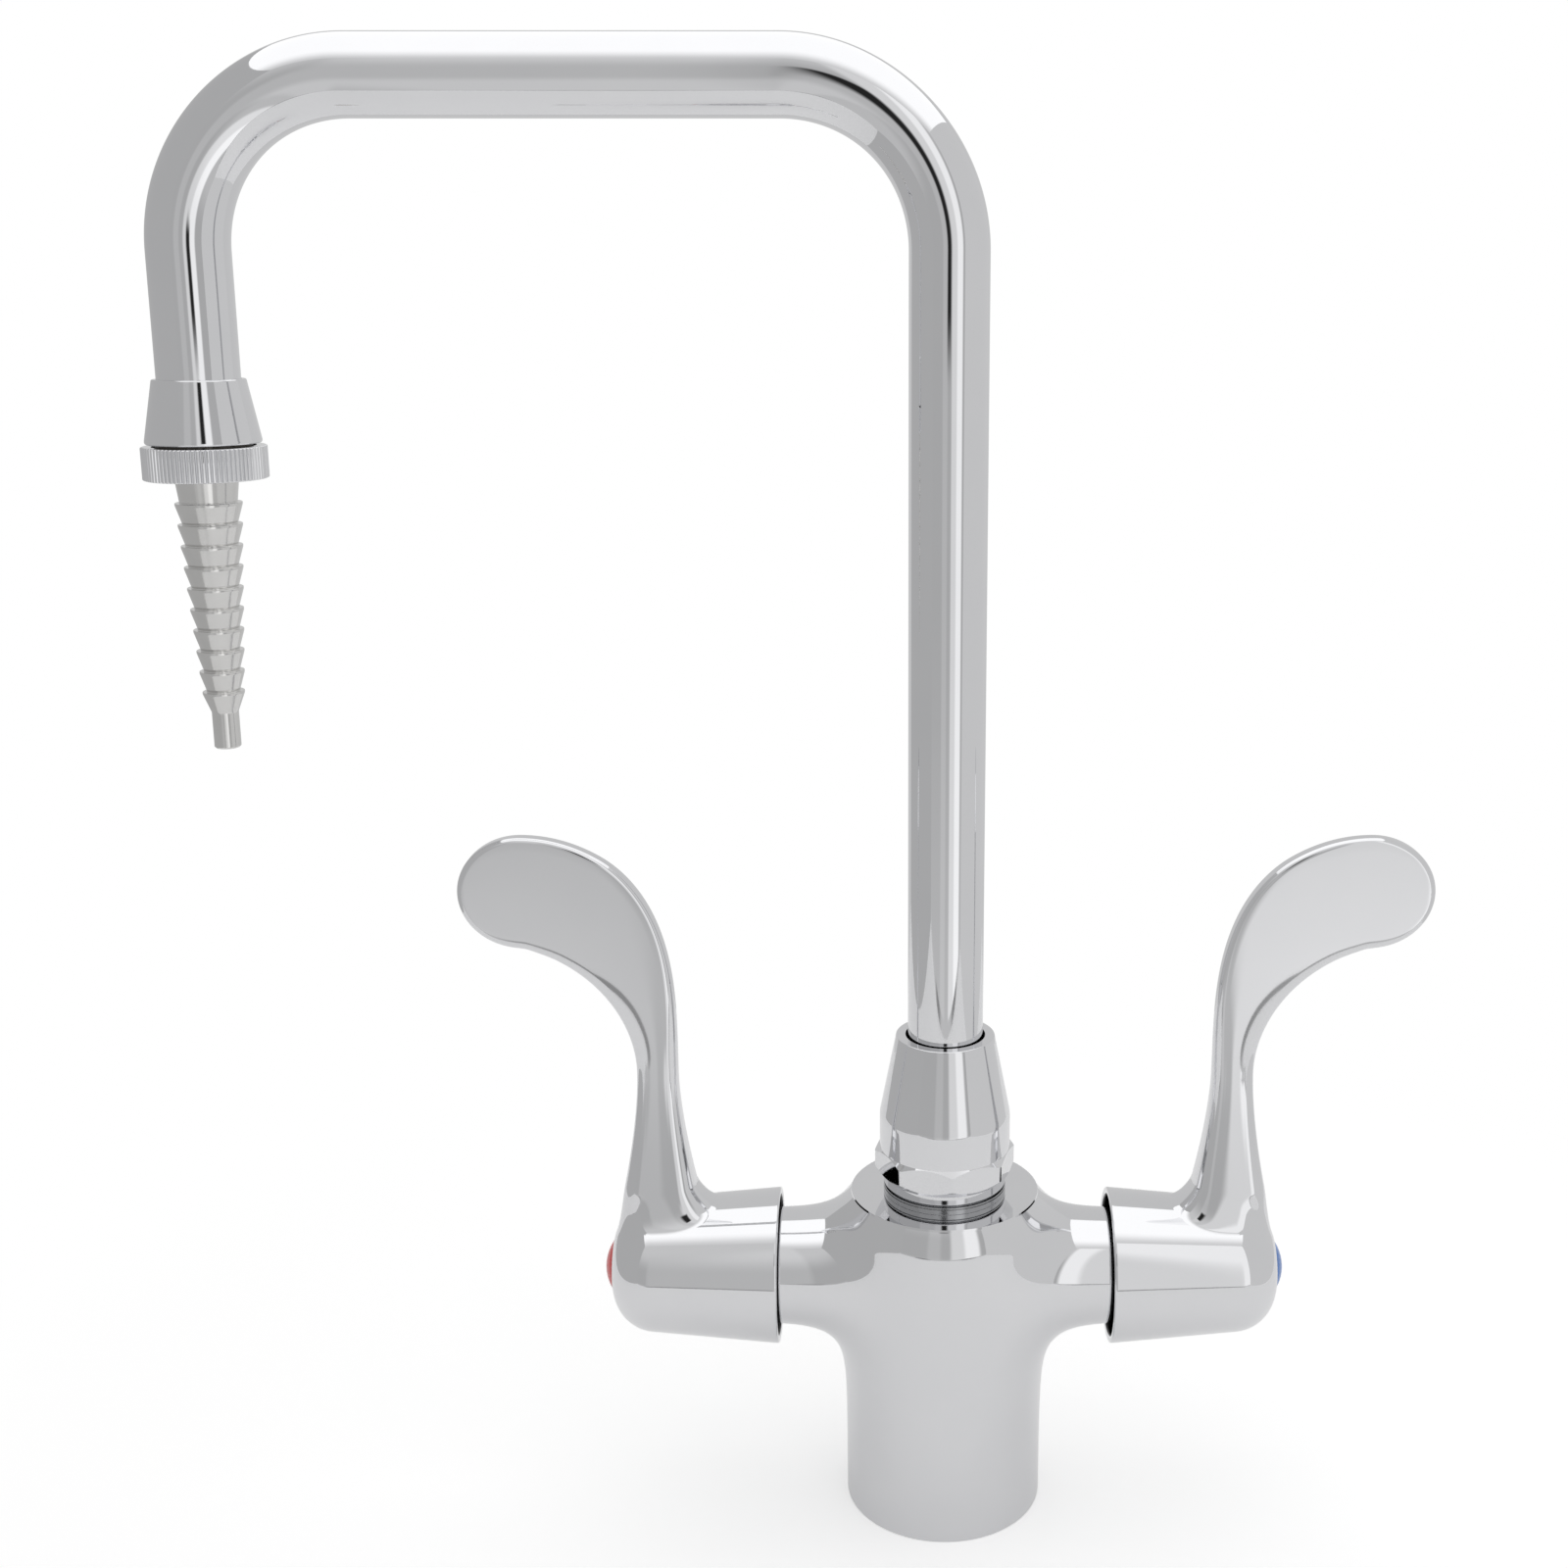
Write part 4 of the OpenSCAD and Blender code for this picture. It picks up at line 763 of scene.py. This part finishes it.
def handleShapes(look):
    # hub: one outline turned about the arms' axis, open towards the column, with a pocket in its round end
    slope, roundX, centreR = hubArc(look)
    turn = np.linspace(slope, np.pi / 2, look.arcSteps)
    arc = np.stack([centreR + look.roundR * np.cos(turn), roundX + look.roundR * np.sin(turn)], axis=-1)
    innerR, pocketX = look.hubR - look.skirt, look.hubEnd - look.pocketDepth
    inside = softOutline([(0, webX, 0), (innerR - look.taper * (webX - hubX), webX, look.webRound),
                          (innerR, hubX, look.rim), (look.hubR, hubX, look.rim), (*arc[0], 0)])
    end = softOutline([(*arc[-1], 0), (look.pocketR, look.hubEnd, look.pocketEdge),
                       (look.pocketR, pocketX, 0), (0, pocketX, 0)])
    hold = arc[:1] + look.holdShare * (inside[-2] - arc[0])
    hub = alongArm(lathe(np.concatenate([inside[:-1], hold, arc, end[1:]])))
    # foot: from the blade's lowest ring to a rounded footprint on the hub, as cubic curves that leave
    # along the blade and arrive along the hub's surface
    blade = bladeRings(look)
    ring = blade[0]
    around = np.arctan2(ring[:, 1], ring[:, 0] - look.bladeX)
    c, s, square = np.cos(around), np.sin(around), look.footSquare
    spread = (np.abs(c) ** square + np.abs(s) ** square) ** (-1 / square)

    def onHub(scale):
        x, r = hubProfile(look, scale * look.footAlong * spread * c)
        angle = scale * look.footTurn * spread * s
        return np.stack([x, r * np.sin(angle), axisZ + r * np.cos(angle)], axis=-1)

    foot = onHub(1.0)
    pull = look.footPull * np.linalg.norm(foot - ring, axis=-1, keepdims=True)
    down = pull * unit(ring - blade[1])
    arrive = pull * unit(onHub(1.0 + look.leaveStep) - foot)
    t = np.linspace(0, 1, look.footSteps)[:, None, None]
    flow = ((2 * t ** 3 - 3 * t ** 2 + 1) * ring + (t ** 3 - 2 * t ** 2 + t) * down
            + (3 * t ** 2 - 2 * t ** 3) * foot + (t ** 3 - t ** 2) * arrive)
    # below the footprint the blade closes inside the hub
    centre = np.array([look.bladeX, 0, axisZ + look.footDepth])
    sunk = foot + look.footSunk * unit(centre - foot)
    bottom = np.stack([np.repeat(centre[None], len(sunk), axis=0), sunk])
    return [hub, np.concatenate([bottom, flow[::-1], blade[1:]])]


coldGrids = handleShapes(handle)
hotGrids = [mirrored(grid, 0) for grid in coldGrids]
makePiece("coldHandle", coldGrids, "cold_lever", ["cold_handle"], handleFinish, sharp=50)
makePiece("hotHandle", hotGrids, "hot_lever", ["hot_handle"], handleFinish, sharp=50)
print("handles")


# Index buttons: domed discs in the hub ends

buttonLook = dict(radius=6.6, plug=2.0, dome=2.2, edge=0.35, plugEdge=0.1, domeSteps=40, edgeStep=3, turns=96)


def buttonShape(look):
    # a plug under a dome, turned about the arms' axis; the dome is an arc of radius
    # (radius^2 + dome^2) / (2 dome)
    faceX = nodeBox("cold_index_button")[1][0]
    baseX, plugX = handle.hubEnd, handle.hubEnd - look.plug
    bow = (look.radius ** 2 + look.dome ** 2) / (2 * look.dome)
    turn = np.linspace(np.arcsin(look.radius / bow), 0, look.domeSteps)
    dome = np.stack([bow * np.sin(turn), faceX - bow + bow * np.cos(turn)], axis=-1)
    side = softOutline([(0, plugX, 0), (look.radius, plugX, look.plugEdge), (look.radius, baseX, look.edge),
                        (*dome[look.edgeStep], 0)])
    return alongArm(lathe(np.concatenate([side, dome[look.edgeStep + 1:]]), look.turns))


buttonGrid = buttonShape(SimpleNamespace(**buttonLook))
makePiece("coldButton", [buttonGrid], "cold_lever", ["cold_index_button"], finishes["blue_index"])
makePiece("hotButton", [mirrored(buttonGrid, 0)], "hot_lever", ["hot_index_button"], finishes["red_index"])
print("index buttons")


# Studio: pale floor, and a tent of soft panels that only light and reflections see; metres and degrees

stageLook = dict(left=-0.36, right=0.30, front=-0.33, back=0.36, top=0.61, leftLevel=0.48, rightLevel=0.67,
                 backLevel=0.64, topLevel=1.25, topFront=0.75, topRise=0.2, roomLevel=0.475, lowLevel=0.12,
                 lowFrom=-25.0, lowTo=-8.0, highFrom=12.0, highTo=45.0, highLevel=0.20, sideFrom=-19.0,
                 sideTo=-5.0, sideLevel=0.08, paleFrom=6.0, stripFrom=21.0, stripTo=37.0, stripSoft=2.5,
                 paleLevel=0.32, stripLevel=0.25, cardLeft=-0.055, cardRight=0.03, cardLow=0.285,
                 cardHigh=0.5, cardSoft=0.02, cardY=-0.47, cardLevel=0.02, floorShade=(0.80, 0.80, 0.80),
                 floorLift=0.40, glossLift=0.175, edgeH=0.008, edgeLevel=0.29, edgeFrom=0.10, edgeTo=0.19,
                 edgeSoft=0.03, fadeFrom=0.16, fadeTo=0.32)
white = (1, 1, 1, 1)


def panel(name, corners, material):
    mesh = bpy.data.meshes.new(name)
    mesh.from_pydata(corners, [], [(0, 1, 2, 3)])
    mesh.materials.append(material)
    sheet = bpy.data.objects.new(name, mesh)
    bpy.context.scene.collection.objects.link(sheet)
    return sheet


def glow(wire, color, strength=1.0):
    return wire.make("ShaderNodeEmission", None, {"Color": color, "Strength": strength})


def eased(wire, value, start, stop, low=0.0, high=1.0):
    # goes from low to high while the value goes from start to stop, softly at both ends
    return wire.make("ShaderNodeMapRange", {"interpolation_type": "SMOOTHSTEP"},
                     {0: value, 1: start, 2: stop, 3: low, 4: high})


def band(wire, value, low, high, soft):
    # 1 between low and high, with a soft rise and fall
    rise = eased(wire, value, low - soft, low + soft)
    return rise * eased(wire, value, high - soft, high + soft, 1.0, 0.0)


def evenGlow(name, level):
    material, wire = newMaterial(name)
    setSurface(wire, glow(wire, (level, level, level, 1)))
    return material


def ceilingGlow(look):
    # brighter towards the back: the level rises from the front edge over a stated depth
    material, wire = newMaterial("tentTop")
    depth = split(wire, objectPlace(wire))[1]
    setSurface(wire, glow(wire, eased(wire, depth, look.front, look.front + look.topRise,
                                      look.topFront, look.topLevel)))
    return material


def edgeGlow(look):
    # dark line along the table's front edge, only where the hubs reflect it; elsewhere as pale as the room
    material, wire = newMaterial("tableEdge")
    side = wire.math("ABSOLUTE", split(wire, objectPlace(wire))[0])
    pale = look.roomLevel + look.lowLevel
    dark = (pale - look.edgeLevel) * band(wire, side, look.edgeFrom, look.edgeTo, look.edgeSoft)
    setSurface(wire, glow(wire, pale - dark))
    return material


def cardGlow(look):
    # dark card beside the camera, with soft sides: clear outside the two bands
    material, wire = newMaterial("darkCard")
    x, _, z = split(wire, objectPlace(wire))
    mask = (band(wire, x, look.cardLeft, look.cardRight, look.cardSoft)
            * band(wire, z, look.cardLow, look.cardHigh, look.cardSoft))
    dark = glow(wire, (look.cardLevel, look.cardLevel, look.cardLevel, 1))
    clear = wire.make("ShaderNodeBsdfTransparent")
    setSurface(wire, wire.make("ShaderNodeMixShader", None, {0: mask, 1: clear, 2: dark}))
    return material


def floorFinish(look):
    # pale sheet; for the camera it fades to white away from the object, and keeps the shadow near it
    material, wire = newMaterial("floor")
    radius = wire.make("ShaderNodeVectorMath", {"operation": "LENGTH"}, {0: objectPlace(wire)}, out=1)
    away = eased(wire, radius, look.fadeFrom, look.fadeTo)
    seen = wire.make("ShaderNodeLightPath", out="Is Camera Ray")
    gloss = wire.make("ShaderNodeLightPath", out="Is Glossy Ray")
    sheet = wire.make("ShaderNodeBsdfDiffuse", None, {"Color": (*look.floorShade, 1)})
    lift = glow(wire, white, seen * look.floorLift + gloss * look.glossLift)
    both = wire.make("ShaderNodeAddShader", None, {0: sheet, 1: lift})
    setSurface(wire, wire.make("ShaderNodeMixShader", None, {0: seen * away, 1: both, 2: glow(wire, white)}))
    return material


def roomWorld(look):
    # white to the camera; to light and reflections a grey room in front of the tent, paler low down and
    # high up, with a faint upright strip to the left and a pale and a bright one to the right
    world = bpy.data.worlds.new("studio")
    world.use_nodes = True
    world.node_tree.nodes.clear()
    wire = Wire(world.node_tree)
    x, y, z = split(wire, wire.make("ShaderNodeTexCoord", out="Generated"))
    turn = wire.math("ARCTAN2", x, y * -1.0) * (180 / np.pi)
    rise = wire.math("ARCSINE", z) * (180 / np.pi)
    low = eased(wire, rise, look.lowFrom, look.lowTo, look.lowLevel, 0.0)
    high = eased(wire, rise, look.highFrom, look.highTo, 0.0, look.highLevel)
    pale = band(wire, turn, look.paleFrom, look.stripTo, look.stripSoft)
    level = (look.roomLevel + low + high * (1 - pale) + look.paleLevel * pale
             + look.sideLevel * band(wire, turn, look.sideFrom, look.sideTo, look.stripSoft)
             + look.stripLevel * band(wire, turn, look.stripFrom, look.stripTo, look.stripSoft))
    room, plain = (wire.make("ShaderNodeBackground", None, {"Color": color, "Strength": 1.0})
                   for color in (level, white))
    seen = wire.make("ShaderNodeLightPath", out="Is Camera Ray")
    both = wire.make("ShaderNodeMixShader", None, {0: seen, 1: room, 2: plain})
    wire.make("ShaderNodeOutputWorld", None, {"Surface": both})
    return world


def buildStudio(look):
    left, right, front, back, top = look.left, look.right, look.front, look.back, look.top
    cardLeft, cardRight = look.cardLeft - look.cardSoft, look.cardRight + look.cardSoft
    cardLow, cardHigh = look.cardLow - look.cardSoft, look.cardHigh + look.cardSoft

    def upright(y, x0, x1, z0, z1):
        # corners of a sheet that faces the front or the back
        return [(x0, y, z0), (x1, y, z0), (x1, y, z1), (x0, y, z1)]

    def sideways(x):
        return [(x, front, 0), (x, back, 0), (x, back, top), (x, front, top)]

    def level(z):
        # faces up; in reverse it faces down
        return [(left, front, z), (right, front, z), (right, back, z), (left, back, z)]

    panel("floor", level(0), floorFinish(look))
    unseen = [panel("tentTop", level(top)[::-1], ceilingGlow(look)),
              panel("tentLeft", sideways(left), evenGlow("tentLeft", look.leftLevel)),
              panel("tentRight", sideways(right), evenGlow("tentRight", look.rightLevel)),
              panel("tentBack", upright(back, left, right, 0, top), evenGlow("tentBack", look.backLevel)),
              panel("tableEdge", upright(front, left, right, 0, look.edgeH), edgeGlow(look)),
              panel("darkCard", upright(look.cardY, cardLeft, cardRight, cardLow, cardHigh), cardGlow(look))]
    for sheet in unseen:
        sheet.visible_camera = False
        sheet.visible_shadow = False
    bpy.context.scene.world = roomWorld(look)


buildStudio(SimpleNamespace(**stageLook))
bpy.context.scene.view_settings.view_transform = "Standard"
print("studio")


# Camera

cameraLook = dict(place=(-0.01174, -0.45486, 0.31231), tilt=77.213, lens=43.744, sensor=36.0, shiftX=-0.0734,
                  shiftY=-0.0381, nearest=0.01)
cameraData = bpy.data.cameras.new("camera")
cameraData.lens = cameraLook["lens"]
cameraData.sensor_width = cameraLook["sensor"]
cameraData.shift_x = cameraLook["shiftX"]
cameraData.shift_y = cameraLook["shiftY"]
cameraData.clip_start = cameraLook["nearest"]
camera = bpy.data.objects.new("camera", cameraData)
camera.location = cameraLook["place"]
camera.rotation_euler = (np.radians(cameraLook["tilt"]), 0, 0)
bpy.context.scene.collection.objects.link(camera)
bpy.context.scene.camera = camera
print("camera")
